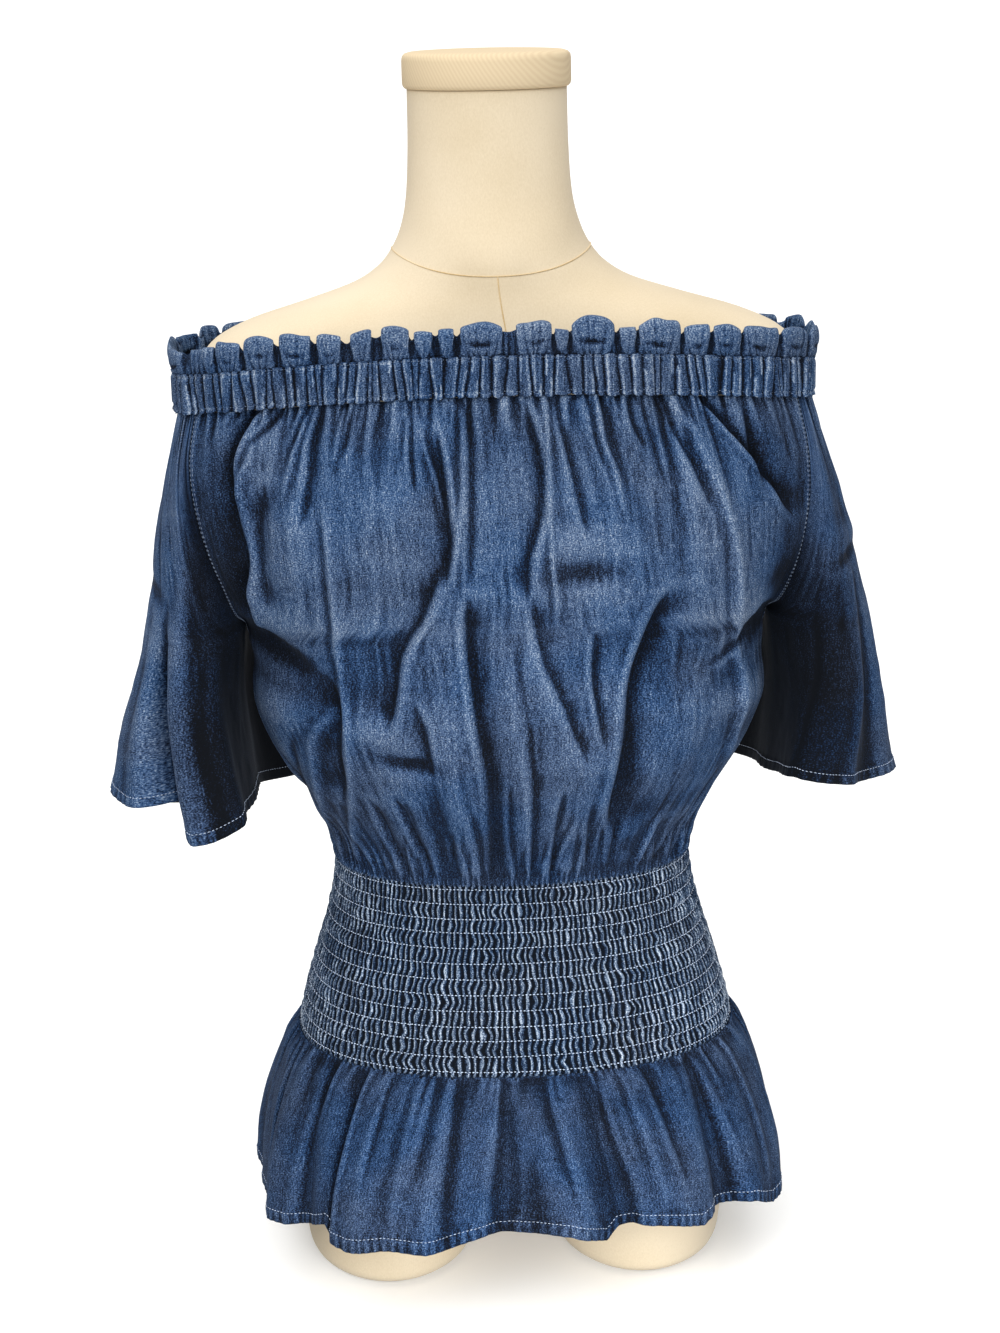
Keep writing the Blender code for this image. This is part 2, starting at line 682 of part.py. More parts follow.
def build_ruffle():
    """The heading above the casing, in waves that open toward its uneven top edge."""
    levels = [(1.0, 1.0), (0.45, 0.75), (0.0, 0.3)]
    ring = neck_ring(4 * RUFFLE_WAVES)
    rows = []
    for height, swing in levels:
        row = []
        for k, (place, out, lift) in enumerate(ring):
            wave = k // 4
            tall = RUFFLE_HEIGHT + 1.6 * sin(2.3 * wave) + 1.2 * sin(0.9 * wave)
            size = RUFFLE_SWING * (1 + 0.22 * sin(1.7 * wave))
            spot = place + out * (size * swing * sin(pi * k / 2))
            row.append(Vector((spot.x, spot.y, RUFFLE_BOTTOM + tall * height + lift)))
        rows.append(row)
    closed = [row + row[:1] for row in rows]
    out = out_directions([closed])
    outer = [[point + out(point) * RUFFLE_CLOTH / 2 for point in row] for row in rows]
    inner = [[point - out(point) * RUFFLE_CLOTH / 2 for point in row] for row in rows]
    for wall in (outer, inner):
        for spot, (place, direction, lift) in zip(wall[-1], ring):
            spot.z = RUFFLE_BOTTOM + lift
    solid = wall_solid(outer, inner, around=True)
    return clean_object("neck_ruffle", solid.points, solid.faces, DENIM_WORN, 0.85)


# ---------------------------------------------------------------- shirred waist and peplum

def waist_point(angle, z, thickness):
    """A place on the shirred waist, on the form's own section at its height."""
    level = section_at(FORM, "z", z)
    z += raised(oval_point(level, angle)[1], -level.front, level.back)
    section = section_at(FORM, "z", z)
    return Vector((*oval_point(section, angle, FORM_CLEARANCE + thickness), z))


def build_waist(name, start):
    """Half of the shirred waist: rows of stitches sink, and the cloth puffs up between."""
    columns = SHIRR_COLUMNS // 2
    outer = []
    for number in range(2 * STITCH_ROWS + 1):
        stitched = number % 2 == 1
        z = WAIST_TOP - WAIST_MARGIN - STITCH_PITCH * (number - 1) / 2
        z = min(WAIST_TOP, max(WAIST_BOTTOM, z))
        row = []
        for j in range(columns + 1):
            high = not stitched and (j + number // 2) % 2 == 1 and 0 < j < columns
            thickness = SHIRR_HIGH if high else SHIRR_LOW
            row.append(waist_point(start + pi * j / columns, z, thickness))
        outer.append(row)
    inner = []
    for number in range(SHIRR_INNER_ROWS):
        z = WAIST_TOP + (WAIST_BOTTOM - WAIST_TOP) * number / (SHIRR_INNER_ROWS - 1)
        inner.append([waist_point(start + 2 * pi * j / FORM_SIDES, z, 0.0)
                      for j in range(FORM_SIDES // 2 + 1)])
    for rows in (outer, inner):
        for row in rows:
            for edge, beside in ((0, 1), (-1, -2)):
                row[edge] += (row[beside] - row[edge]).normalized() * SEAM_GAP / 2
    solid = wall_solid(outer, inner, around=False)
    return clean_object(name, solid.points, solid.faces, DENIM, 0.85)


def shirring_edge(start, columns, z):
    """The gathered edge of a panel that is sewn to the shirred waist."""
    edge = []
    for j in range(columns + 1):
        gather = SEAT_GATHER * (1 if j % 2 else -1) if 0 < j < columns else 0.0
        edge.append(waist_point(start + pi * j / columns, z, SEAT + gather))
    return edge


def peplum_sheet(start):
    """Half of the peplum: gathered at the shirring, in loose folds at its hem."""
    rows = [shirring_edge(start, PEPLUM_COLUMNS, WAIST_BOTTOM - SEAM_GAP)]
    for row in PEPLUM:
        z = WAIST_BOTTOM - SEAM_GAP - row.drop
        gathered = 1 - ramp(row.drop, 0, GATHER_REACH)
        loose = ramp(row.drop, 0, PEPLUM_DROP * 0.9)
        points = []
        for j in range(PEPLUM_COLUMNS + 1):
            angle = start + pi * j / PEPLUM_COLUMNS
            x, y = oval_point(row, angle)
            out = Vector(oval_point(row, angle, 1.0)) - Vector((x, y))
            rise = sum(fold.rise * bump(degrees(angle) - fold.around, fold.half_angle)
                       for fold in PEPLUM_FOLDS) * loose
            off_seam = 1 if 0 < j < PEPLUM_COLUMNS else 0
            rise += GATHER_RISE * gathered * off_seam * (1 if j % 2 else -1)
            points.append(Vector((x + rise * out.x, y + rise * out.y,
                                  z + raised(y, -row.front, row.back))))
        rows.append(points)
    return rows


def build_peplum():
    sheets = {"peplum_back": peplum_sheet(0.0), "peplum_front": peplum_sheet(pi)}
    out = out_directions(sheets.values())
    for name, sheet in sheets.items():
        directions = [[out(point) for point in row] for row in sheet]
        outer = trimmed(sheet, range(len(sheet)), directions)
        inner = [[point - direction * (HEM_CLOTH if i >= len(sheet) - 2 else CLOTH)
                  for point, direction in zip(row, directions[i])]
                 for i, row in enumerate(outer)]
        level_edge(inner[0], outer[0])
        solid = wall_solid(outer, inner, around=False)
        clean_object(name, solid.points, solid.faces, DENIM, 0.85)


# ---------------------------------------------------------------- the whole part

def stand_on_origin():
    """Hang every piece from one empty that centres the part's box over the origin."""
    pieces = list(bpy.context.scene.objects)
    corners = [vertex.co for piece in pieces for vertex in piece.data.vertices]
    frame = bpy.data.objects.new("part_frame", None)
    bpy.context.collection.objects.link(frame)
    for axis in (0, 1):
        values = [corner[axis] for corner in corners]
        frame.location[axis] = -(min(values) + max(values)) / 2
    for piece in pieces:
        piece.parent = frame


for old in list(bpy.data.objects):
    bpy.data.objects.remove(old, do_unlink=True)
build_form()
build_cap()
build_bodice_and_sleeves()
build_casing()
build_ruffle()
build_waist("waist_back", 0.0)
build_waist("waist_front", pi)
build_peplum()
stand_on_origin()
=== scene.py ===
from collections import namedtuple

import bmesh
import bpy
import numpy as np
from mathutils import Matrix, Vector
from mathutils.bvhtree import BVHTree


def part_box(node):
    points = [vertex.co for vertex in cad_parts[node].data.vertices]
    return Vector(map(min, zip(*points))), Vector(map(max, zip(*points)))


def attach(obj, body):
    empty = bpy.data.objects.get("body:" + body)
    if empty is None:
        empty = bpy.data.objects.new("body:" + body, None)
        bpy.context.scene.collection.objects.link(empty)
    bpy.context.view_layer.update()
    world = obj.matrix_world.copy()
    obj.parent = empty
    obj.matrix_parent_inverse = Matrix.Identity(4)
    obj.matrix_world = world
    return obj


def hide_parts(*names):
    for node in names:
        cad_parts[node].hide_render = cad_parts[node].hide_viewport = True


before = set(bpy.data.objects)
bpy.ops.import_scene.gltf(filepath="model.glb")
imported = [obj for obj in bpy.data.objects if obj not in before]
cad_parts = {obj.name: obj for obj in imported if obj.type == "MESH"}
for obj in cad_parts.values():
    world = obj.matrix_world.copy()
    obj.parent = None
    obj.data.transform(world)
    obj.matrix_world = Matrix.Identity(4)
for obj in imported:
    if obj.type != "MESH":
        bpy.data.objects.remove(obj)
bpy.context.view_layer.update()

# ---------------------------------------------------------------- dress form
# The torso that the blouse is shown on: a light limbless form under a close cover of cream
# cotton jersey.  The cover is cut in panels, so thin piped seams show round the base of the
# neck and down the centre front.  It stands on the flat ends of two short thigh stubs.

MM = 0.001
NECK_TOP = 787.7
CAP_SIDEWAYS = -6.0          # the neck and its cap sit a little off the shoulders' middle
CAP_FRONT = 46.0
CAP_BACK = 60.0
cap_low, cap_high = np.array(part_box("form_neck_cap")) / MM
# Lengths below are millimetres in the blouse's own frame, whose origin lies here:
ORIGIN = np.array([(cap_low[0] + cap_high[0]) / 2 - CAP_SIDEWAYS,
                   (cap_low[1] + cap_high[1]) / 2 - (CAP_BACK - CAP_FRONT) / 2, 0.0])

# Level sections: height, half width, depths in front and behind, how square the rounding
# is, and how far the section is set to one side.
FORM = [
    (NECK_TOP, 50.0, 43.0, 57.0, 2.0, -6.0),
    (752, 50.5, 44.0, 58.0, 2.0, -6.0),
    (722, 52.5, 46.0, 60.0, 2.0, -6.0),
    (704, 56.5, 49.0, 63.0, 2.0, -5.6),
    (690, 63.0, 52.0, 66.0, 2.0, -5.4),
    (678, 73.0, 55.0, 70.0, 2.1, -5.0),
    (667, 91.0, 58.0, 73.0, 2.2, -4.6),
    (656, 124.0, 62.0, 76.0, 2.3, -4.0),
    (645, 160.0, 66.0, 79.0, 2.4, -3.4),
    (633, 183.0, 70.0, 81.0, 2.4, -2.2),
    (615, 193.0, 76.0, 83.0, 2.4, -1.0),
    (578, 189.0, 91.0, 88.0, 2.4, 0.0),
    (535, 173.0, 109.0, 92.0, 2.4, 0.0),
    (495, 160.0, 117.0, 93.0, 2.4, 0.0),
    (450, 146.0, 112.0, 91.0, 2.4, 0.0),
    (400, 131.0, 100.0, 86.0, 2.3, 0.0),
    (345, 120.0, 91.0, 80.0, 2.2, 0.0),
    (310, 116.5, 88.5, 79.0, 2.2, 0.0),
    (285, 116.0, 88.0, 81.0, 2.2, 0.0),
    (262, 119.0, 90.5, 86.0, 2.2, 0.0),
    (240, 124.5, 95.0, 93.0, 2.2, 0.0),
    (216, 132.0, 101.0, 102.0, 2.2, 0.0),
    (192, 139.0, 107.0, 110.0, 2.2, 0.0),
    (166, 145.0, 112.0, 118.0, 2.2, 0.0),
    (138, 152.0, 115.0, 123.0, 2.2, 0.0),
    (110, 157.0, 115.0, 123.0, 2.2, 0.0),
    (85, 158.0, 112.0, 118.0, 2.2, 0.0),
]
TORSO_BOTTOM = 85.0
CHEST_TOP = 620.0            # the rows of points are closer together above this
NECK_STEP = 2.5
TORSO_STEP = 5.0
# The thighs: height, how far half the torso's edge has turned into an oval, and that oval's
# half width and half depth.
THIGHS = [
    (TORSO_BOTTOM, 0.0, 76.0, 112.0),
    (72, 0.40, 72.0, 107.0),
    (56, 0.80, 66.0, 98.0),
    (36, 1.00, 61.5, 88.0),
    (14, 1.00, 59.0, 82.0),
    (4, 1.00, 56.5, 79.0),
    (0, 1.00, 50.0, 72.0),
]
THIGH_LEVELS = [80, 76, 72, 68, 64, 60, 56, 50, 44, 38, 32, 26, 20, 14, 10, 7, 4, 2.5, 1.2,
                0.4, 0]
THIGH_X = {1: 82.0, -1: 90.0}
THIGH_Y = 2.0
CROTCH_ARCH = 5.0
FORM_SIDES = 112
CROTCH_POINTS = 25
PIPING = 0.40                # radius of a seam's ridge
PIPING_SIDES = 6
PIPING_PROUD = 0.1
NECK_SEAM_Z = 690.0
NECK_SEAM_DIP = 13.0         # how much lower the neck seam runs at the middle of the front
NECK_SEAM_ARC = (168, 372)   # degrees: round the front and just past both sides
FRONT_SEAM_BOTTOM = 632.0
FRONT_SEAM_AROUND = 270.5
ASLANT = np.array([0.13, -0.41, 0.9])        # a direction that no seam runs along
COVER_LIGHT = "#e1d1b5"
COVER_SHADE = "#d1bf9f"
SEAM_LIGHT = "#e2cda6"
SEAM_SHADE = "#c7a873"


def along(table, place):
    """A table's other columns, read at places down its first one on a smooth curve."""
    rows = np.array(sorted(table), float)
    keys, values = rows[:, 0], rows[:, 1:]
    slopes = np.empty_like(values)
    slopes[1:-1] = (values[2:] - values[:-2]) / (keys[2:] - keys[:-2])[:, None]
    slopes[0] = (values[1] - values[0]) / (keys[1] - keys[0])
    slopes[-1] = (values[-1] - values[-2]) / (keys[-1] - keys[-2])
    place = np.clip(np.asarray(place, float), keys[0], keys[-1])
    i = np.clip(np.searchsorted(keys, place, side="right") - 1, 0, len(keys) - 2)
    span = keys[i + 1] - keys[i]
    t = ((place - keys[i]) / span)[..., None]
    rise = values[i + 1] - values[i]
    bend_in = span[..., None] * slopes[i] - rise
    bend_out = span[..., None] * slopes[i + 1] - rise
    read = values[i] + rise * t + t * (1 - t) * (bend_in * (1 - t) - bend_out * t)
    return np.moveaxis(read, -1, 0)


def oval(half_width, front, back, power, angle, clearance=0.0):
    """The x and y of a rounded section at angles, moved straight out by a clearance."""
    c, s = np.cos(angle), np.sin(angle)
    depth = np.where(s < 0, front, back)
    x = half_width * np.abs(c) ** (2 / power)
    y = depth * np.abs(s) ** (2 / power)
    slope_x = (x / half_width) ** (power - 1) / half_width
    slope_y = (y / depth) ** (power - 1) / depth
    size = np.hypot(slope_x, slope_y)
    return (np.sign(c) * (x + clearance * slope_x / size),
            np.sign(s) * (y + clearance * slope_y / size))


def grid_faces(number, outward=True):
    """Quads over a grid of point numbers: rows run down, columns counter-clockwise."""
    corners = [number[:-1, :-1], number[1:, :-1], number[1:, 1:], number[:-1, 1:]]
    return np.stack(corners if outward else corners[::-1], axis=-1).reshape(-1, 4)


def numbered(rows, columns, start=0):
    """Point numbers of a closed ring's rows, with the first column again at the end."""
    number = start + np.arange(rows * columns).reshape(rows, columns)
    return np.hstack([number, number[:, :1]])


def add_object(name, data):
    """An object for a mesh, lamp or camera, in the scene."""
    item = bpy.data.objects.new(name, data)
    bpy.context.collection.objects.link(item)
    return item


def add_mesh(name, points, faces, material, uv=None, fade=None):
    """A piece from points in millimetres, its place in its mesh, shaded smooth."""
    mesh = bpy.data.meshes.new(name)
    placed = (np.asarray(points, float).reshape(-1, 3) + ORIGIN) * MM
    mesh.from_pydata(placed.tolist(), [], [list(face) for face in faces])
    if uv is not None:
        corners = np.empty(len(mesh.loops), np.int32)
        mesh.loops.foreach_get("vertex_index", corners)
        layer = mesh.uv_layers.new(name="cloth")
        layer.data.foreach_set("uv", (uv.reshape(-1, 2)[corners] * MM).ravel())
    if fade is not None:
        values = mesh.attributes.new("fade", "FLOAT", "POINT")
        values.data.foreach_set("value", np.asarray(fade, float).ravel())
    work = bmesh.new()
    work.from_mesh(mesh)
    bmesh.ops.remove_doubles(work, verts=work.verts, dist=0.002 * MM)
    work.to_mesh(mesh)
    work.free()
    mesh.shade_smooth()
    mesh.materials.append(material)
    return add_object(name, mesh)


def tint(code):
    """An sRGB hex colour as the linear values that shaders take."""
    parts = [int(code[k:k + 2], 16) / 255 for k in (1, 3, 5)]
    linear = [v / 12.92 if v <= 0.04045 else ((v + 0.055) / 1.055) ** 2.4 for v in parts]
    return (*linear, 1.0)


def new_material(name):
    """An empty material with its tree and its shader."""
    material = bpy.data.materials.new(name)
    material.use_nodes = True
    tree = material.node_tree
    return material, tree, tree.nodes["Principled BSDF"]


def set_inputs(tree, node, inputs):
    """Gives a node's inputs their values, or links them where a socket is given."""
    for key, value in inputs.items():
        if isinstance(value, bpy.types.NodeSocket):
            tree.links.new(value, node.inputs[key])
        else:
            node.inputs[key].default_value = value


def add_node(tree, kind, inputs=(), stops=(), **settings):
    """Adds a node; inputs are values or sockets to link from, stops a ramp's colours."""
    node = tree.nodes.new(kind)
    for key, value in settings.items():
        setattr(node, key, value)
    set_inputs(tree, node, dict(inputs))
    for k, (place, code) in enumerate(stops):
        ramp_stops = node.color_ramp.elements
        stop = ramp_stops[k] if k < len(ramp_stops) else ramp_stops.new(place)
        stop.position = place
        stop.color = tint(code)
    return node


def jersey(name, light, shade, stitch_mm, tone_mm):
    """Cotton jersey over foam: matt and warm, with a faint column of knit stitches."""
    material, tree, shader = new_material(name)
    where = add_node(tree, "ShaderNodeTexCoord").outputs["Object"]
    stitches = 1 / (stitch_mm * MM)
    knit_place = add_node(tree, "ShaderNodeMapping", {
        "Vector": where, "Scale": (stitches, stitches, 0.55 * stitches)})
    knit = add_node(tree, "ShaderNodeTexNoise", {
        "Vector": knit_place.outputs["Vector"], "Scale": 1.0, "Detail": 2.0})
    tone = add_node(tree, "ShaderNodeTexNoise", {
        "Vector": where, "Scale": 1 / (tone_mm * MM), "Detail": 2.0})
    mixed = add_node(tree, "ShaderNodeMath", {0: knit.outputs["Fac"], 1: 0.55,
                                              2: tone.outputs["Fac"]},
                     operation="MULTIPLY_ADD")
    colour = add_node(tree, "ShaderNodeValToRGB", {"Fac": mixed.outputs["Value"]},
                      stops=[(0.45, shade), (0.95, light)])
    relief = add_node(tree, "ShaderNodeBump", {
        "Strength": 0.25, "Distance": 0.0002, "Height": knit.outputs["Fac"]})
    set_inputs(tree, shader, {
        "Base Color": colour.outputs["Color"], "Normal": relief.outputs["Normal"],
        "Roughness": 0.9, "Sheen Weight": 0.12, "Sheen Roughness": 0.5})
    return material


def torso_points(z, angle, clearance=0.0):
    """Points of the form's surface at heights and angles."""
    half_width, front, back, power, sideways = along(FORM, z)
    x, y = oval(half_width, front, back, power, angle, clearance)
    return np.stack([x + sideways, y, z + 0 * x], axis=-1)


def thigh_rows(side, edge):
    """Rings from one half of the torso's lower edge and the crotch line to the foot."""
    quarter = FORM_SIDES // 4
    first = -quarter if side > 0 else quarter
    half = edge[np.arange(first, first + 2 * quarter + 1) % FORM_SIDES]
    t = np.linspace(0, 1, CROTCH_POINTS + 2)[1:-1, None]
    crotch = half[-1] + (half[0] - half[-1]) * t
    crotch[:, 2] += CROTCH_ARCH * np.sin(np.pi * t[:, 0])
    loop = np.vstack([half, crotch])
    turn = 2 * np.pi * (np.arange(len(loop)) - quarter) / len(loop)
    angle = turn + (0.0 if side > 0 else np.pi)
    rows = [loop]
    for z in THIGH_LEVELS:
        roundness, half_width, half_depth = along(THIGHS, z)
        foot = np.stack([side * THIGH_X[side] + half_width * np.cos(angle),
                         THIGH_Y + half_depth * np.sin(angle), np.full(len(loop), z)], axis=-1)
        row = loop + (foot - loop) * roundness
        row[:, 2] = z + (loop[:, 2] - TORSO_BOTTOM) * (1 - roundness)
        rows.append(row)
    return np.array(rows)


def piped_seam(name, path, material):
    """A fine round ridge that follows a path over the cover."""
    forward = np.gradient(path, axis=0)
    forward /= np.linalg.norm(forward, axis=1)[:, None]
    side = np.cross(forward, ASLANT)
    side /= np.linalg.norm(side, axis=1)[:, None]
    upward = np.cross(side, forward)
    angle = 2 * np.pi * np.arange(PIPING_SIDES) / PIPING_SIDES
    rings = (path[:, None] + PIPING * (side[:, None] * np.cos(angle)[None, :, None]
                                       + upward[:, None] * np.sin(angle)[None, :, None]))
    number = numbered(len(path), PIPING_SIDES)
    faces = [*grid_faces(number), number[0, :-1][::-1], number[-1, :-1]]
    piece = add_mesh(name, rings, faces, material)
    work = bmesh.new()
    work.from_mesh(piece.data)
    bmesh.ops.recalc_face_normals(work, faces=work.faces)
    work.to_mesh(piece.data)
    work.free()
    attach(piece, "root")


def make_form():
    levels = np.concatenate([np.arange(NECK_TOP, CHEST_TOP, -NECK_STEP),
                             np.arange(CHEST_TOP, TORSO_BOTTOM, -TORSO_STEP), [TORSO_BOTTOM]])
    angle = 2 * np.pi * np.arange(FORM_SIDES) / FORM_SIDES
    torso = torso_points(levels[:, None], angle[None, :])
    points = [torso.reshape(-1, 3)]
    faces = list(grid_faces(numbered(len(levels), FORM_SIDES)))
    faces.append(list(range(FORM_SIDES)))
    count = torso.shape[0] * FORM_SIDES
    for side in (1, -1):
        rows = thigh_rows(side, torso[-1])
        number = numbered(rows.shape[0], rows.shape[1], count)
        faces.extend(grid_faces(number))
        faces.append(number[-1, :-1][::-1])
        points.append(rows.reshape(-1, 3))
        count += rows.shape[0] * rows.shape[1]
    cover = jersey("Cream cotton jersey over foam", COVER_LIGHT, COVER_SHADE, stitch_mm=0.9,
                   tone_mm=90)
    piece = add_mesh("dress_form_torso", np.vstack(points), faces, cover)
    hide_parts("form_body")
    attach(piece, "root")
    return piece


dress_form = make_form()
piping = jersey("Piped seam in the form's cover", SEAM_LIGHT, SEAM_SHADE, stitch_mm=0.9,
                tone_mm=40)
around = np.radians(np.linspace(*NECK_SEAM_ARC, 90))
neck_seam_z = NECK_SEAM_Z - NECK_SEAM_DIP * np.sin(around - np.pi) ** 2
piped_seam("dress_form_neck_seam", torso_points(neck_seam_z, around, PIPING_PROUD), piping)
down = np.linspace(neck_seam_z.min() - 0.5, FRONT_SEAM_BOTTOM, 40)
piped_seam("dress_form_front_seam",
           torso_points(down, np.radians(FRONT_SEAM_AROUND), PIPING_PROUD), piping)

# ---------------------------------------------------------------- neck cap
# The disc that closes the neck: a wooden plate under stretched cotton twill, glued over its
# rim.  It overhangs the neck by two millimetres, and its edges are eased round.

# Its outline down from the flat top: height, half width, depths in front and behind.
CAP = [
    (810, 44.0, 37.0, 51.0),
    (809.8, 48.5, 41.5, 55.5),
    (809, 51.0, 44.0, 58.0),
    (807.4, 52.4, 45.5, 59.5),
    (805, 52.8, CAP_FRONT, CAP_BACK),
    (797, 52.8, CAP_FRONT, CAP_BACK),
    (791, 52.8, CAP_FRONT, CAP_BACK),
    (789.2, 52.2, 45.3, 59.3),
    (788, 51.0, 44.0, 58.0),
    (788, 44.0, 37.0, 51.0),
]
CAP_SIDES = 96
CAP_SHADE = "#d6c09d"
CAP_LIGHT = "#dcc8a5"
TWILL_MM = 2.2               # drawn twice as coarse as real twill, which is too fine to show


def twill(name):
    """Unbleached cotton twill: matt, with a slanting rib that catches the light."""
    material, tree, shader = new_material(name)
    where = add_node(tree, "ShaderNodeTexCoord").outputs["Object"]
    turned = add_node(tree, "ShaderNodeMapping", {
        "Vector": where, "Rotation": (0.0, 0.6, 0.5), "Scale": (1 / MM, 1 / MM, 1 / MM)})
    rib = add_node(tree, "ShaderNodeTexWave", {
        "Vector": turned.outputs["Vector"], "Scale": 1 / (np.pi * TWILL_MM),
        "Distortion": 0.6, "Detail": 1.0, "Detail Scale": 1.5})
    colour = add_node(tree, "ShaderNodeValToRGB", {"Fac": rib.outputs["Fac"]},
                      stops=[(0.1, CAP_SHADE), (0.9, CAP_LIGHT)])
    relief = add_node(tree, "ShaderNodeBump", {
        "Strength": 0.15, "Distance": 0.0002, "Height": rib.outputs["Fac"]})
    set_inputs(tree, shader, {"Base Color": colour.outputs["Color"],
                              "Normal": relief.outputs["Normal"], "Roughness": 0.85})
    return material


def make_cap():
    angle = 2 * np.pi * np.arange(CAP_SIDES) / CAP_SIDES
    rows = []
    for z, half_width, front, back in CAP:
        x, y = oval(half_width, front, back, 2.0, angle)
        rows.append(np.stack([x + CAP_SIDEWAYS, y, np.full(CAP_SIDES, z)], axis=-1))
    rows = np.array(rows)
    number = numbered(len(rows), CAP_SIDES)
    faces = [*grid_faces(number), number[0, :-1], number[-1, :-1][::-1]]
    piece = add_mesh("dress_form_neck_cap", rows, faces, twill("Unbleached cotton twill"))
    piece.data.set_sharp_from_angle(angle=np.radians(60))
    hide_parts("form_neck_cap")
    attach(piece, "root")


make_cap()

# ---------------------------------------------------------------- bodice panels
# Front and back of the blouse's body: wide panels of lightweight washed denim, gathered into
# the casing above and the shirring below, so that they blouse out over the waist.  Each is
# a thin shell, with its large folds and creases set one by one.

CASING_BOTTOM = 592.3
UNDERARM = 448.0
WAIST_TOP = 274.0
SEAM_GAP = 0.3
FORM_CLEARANCE = 0.7
SEAT = 2.7                   # outer face of what is sewn to the shirring, above the form
FRONT_RAISE = 18.0           # the blouse sits higher at the front than at the back,
BACK_RAISE = 4.0
SIDE_RAISE = 15.0            # and round the waist it is drawn up at the sides as well
DENIM_WALL = 0.9
BODY_POWER = 2.2
EDGE_SAMPLES = 400           # points along a row before it is spread into even columns
SEATED = 16.0                # height over which a panel leaves the shirring's own section
# Level sections: height, the armhole seam's x and y, depths in front and behind, half the
# angle that each panel bows round, and how far the section is set to one side.
BODY = [
    (592, 190.0, 38.0, 93.0, 92.0, 68.0, -5.0),
    (562, 195.0, 47.0, 107.0, 97.0, 68.0, -4.5),
    (534, 194.5, 52.0, 122.0, 102.0, 68.0, -3.0),
    (506, 189.5, 53.0, 131.0, 105.0, 70.0, -1.5),
    (480, 182.5, 45.0, 135.0, 107.0, 75.0, 0.0),
    (460, 176.5, 29.0, 136.5, 107.6, 81.0, 0.0),
    (UNDERARM, 172.0, 0.0, 137.0, 108.0, 90.0, 0.0),
    (424, 166.0, 0.0, 139.0, 110.0, 90.0, 0.0),
    (398, 167.0, 0.0, 140.0, 112.0, 90.0, 0.0),
    (372, 160.5, 0.0, 136.0, 110.0, 90.0, 0.0),
    (346, 149.0, 0.0, 126.0, 104.0, 90.0, 0.0),
    (322, 135.0, 0.0, 113.0, 97.0, 90.0, 0.0),
    (298, 124.0, 0.0, 100.0, 88.0, 90.0, 0.0),
    (WAIST_TOP, 120.4, 0.0, 92.7, 87.0, 90.0, 0.0),
]

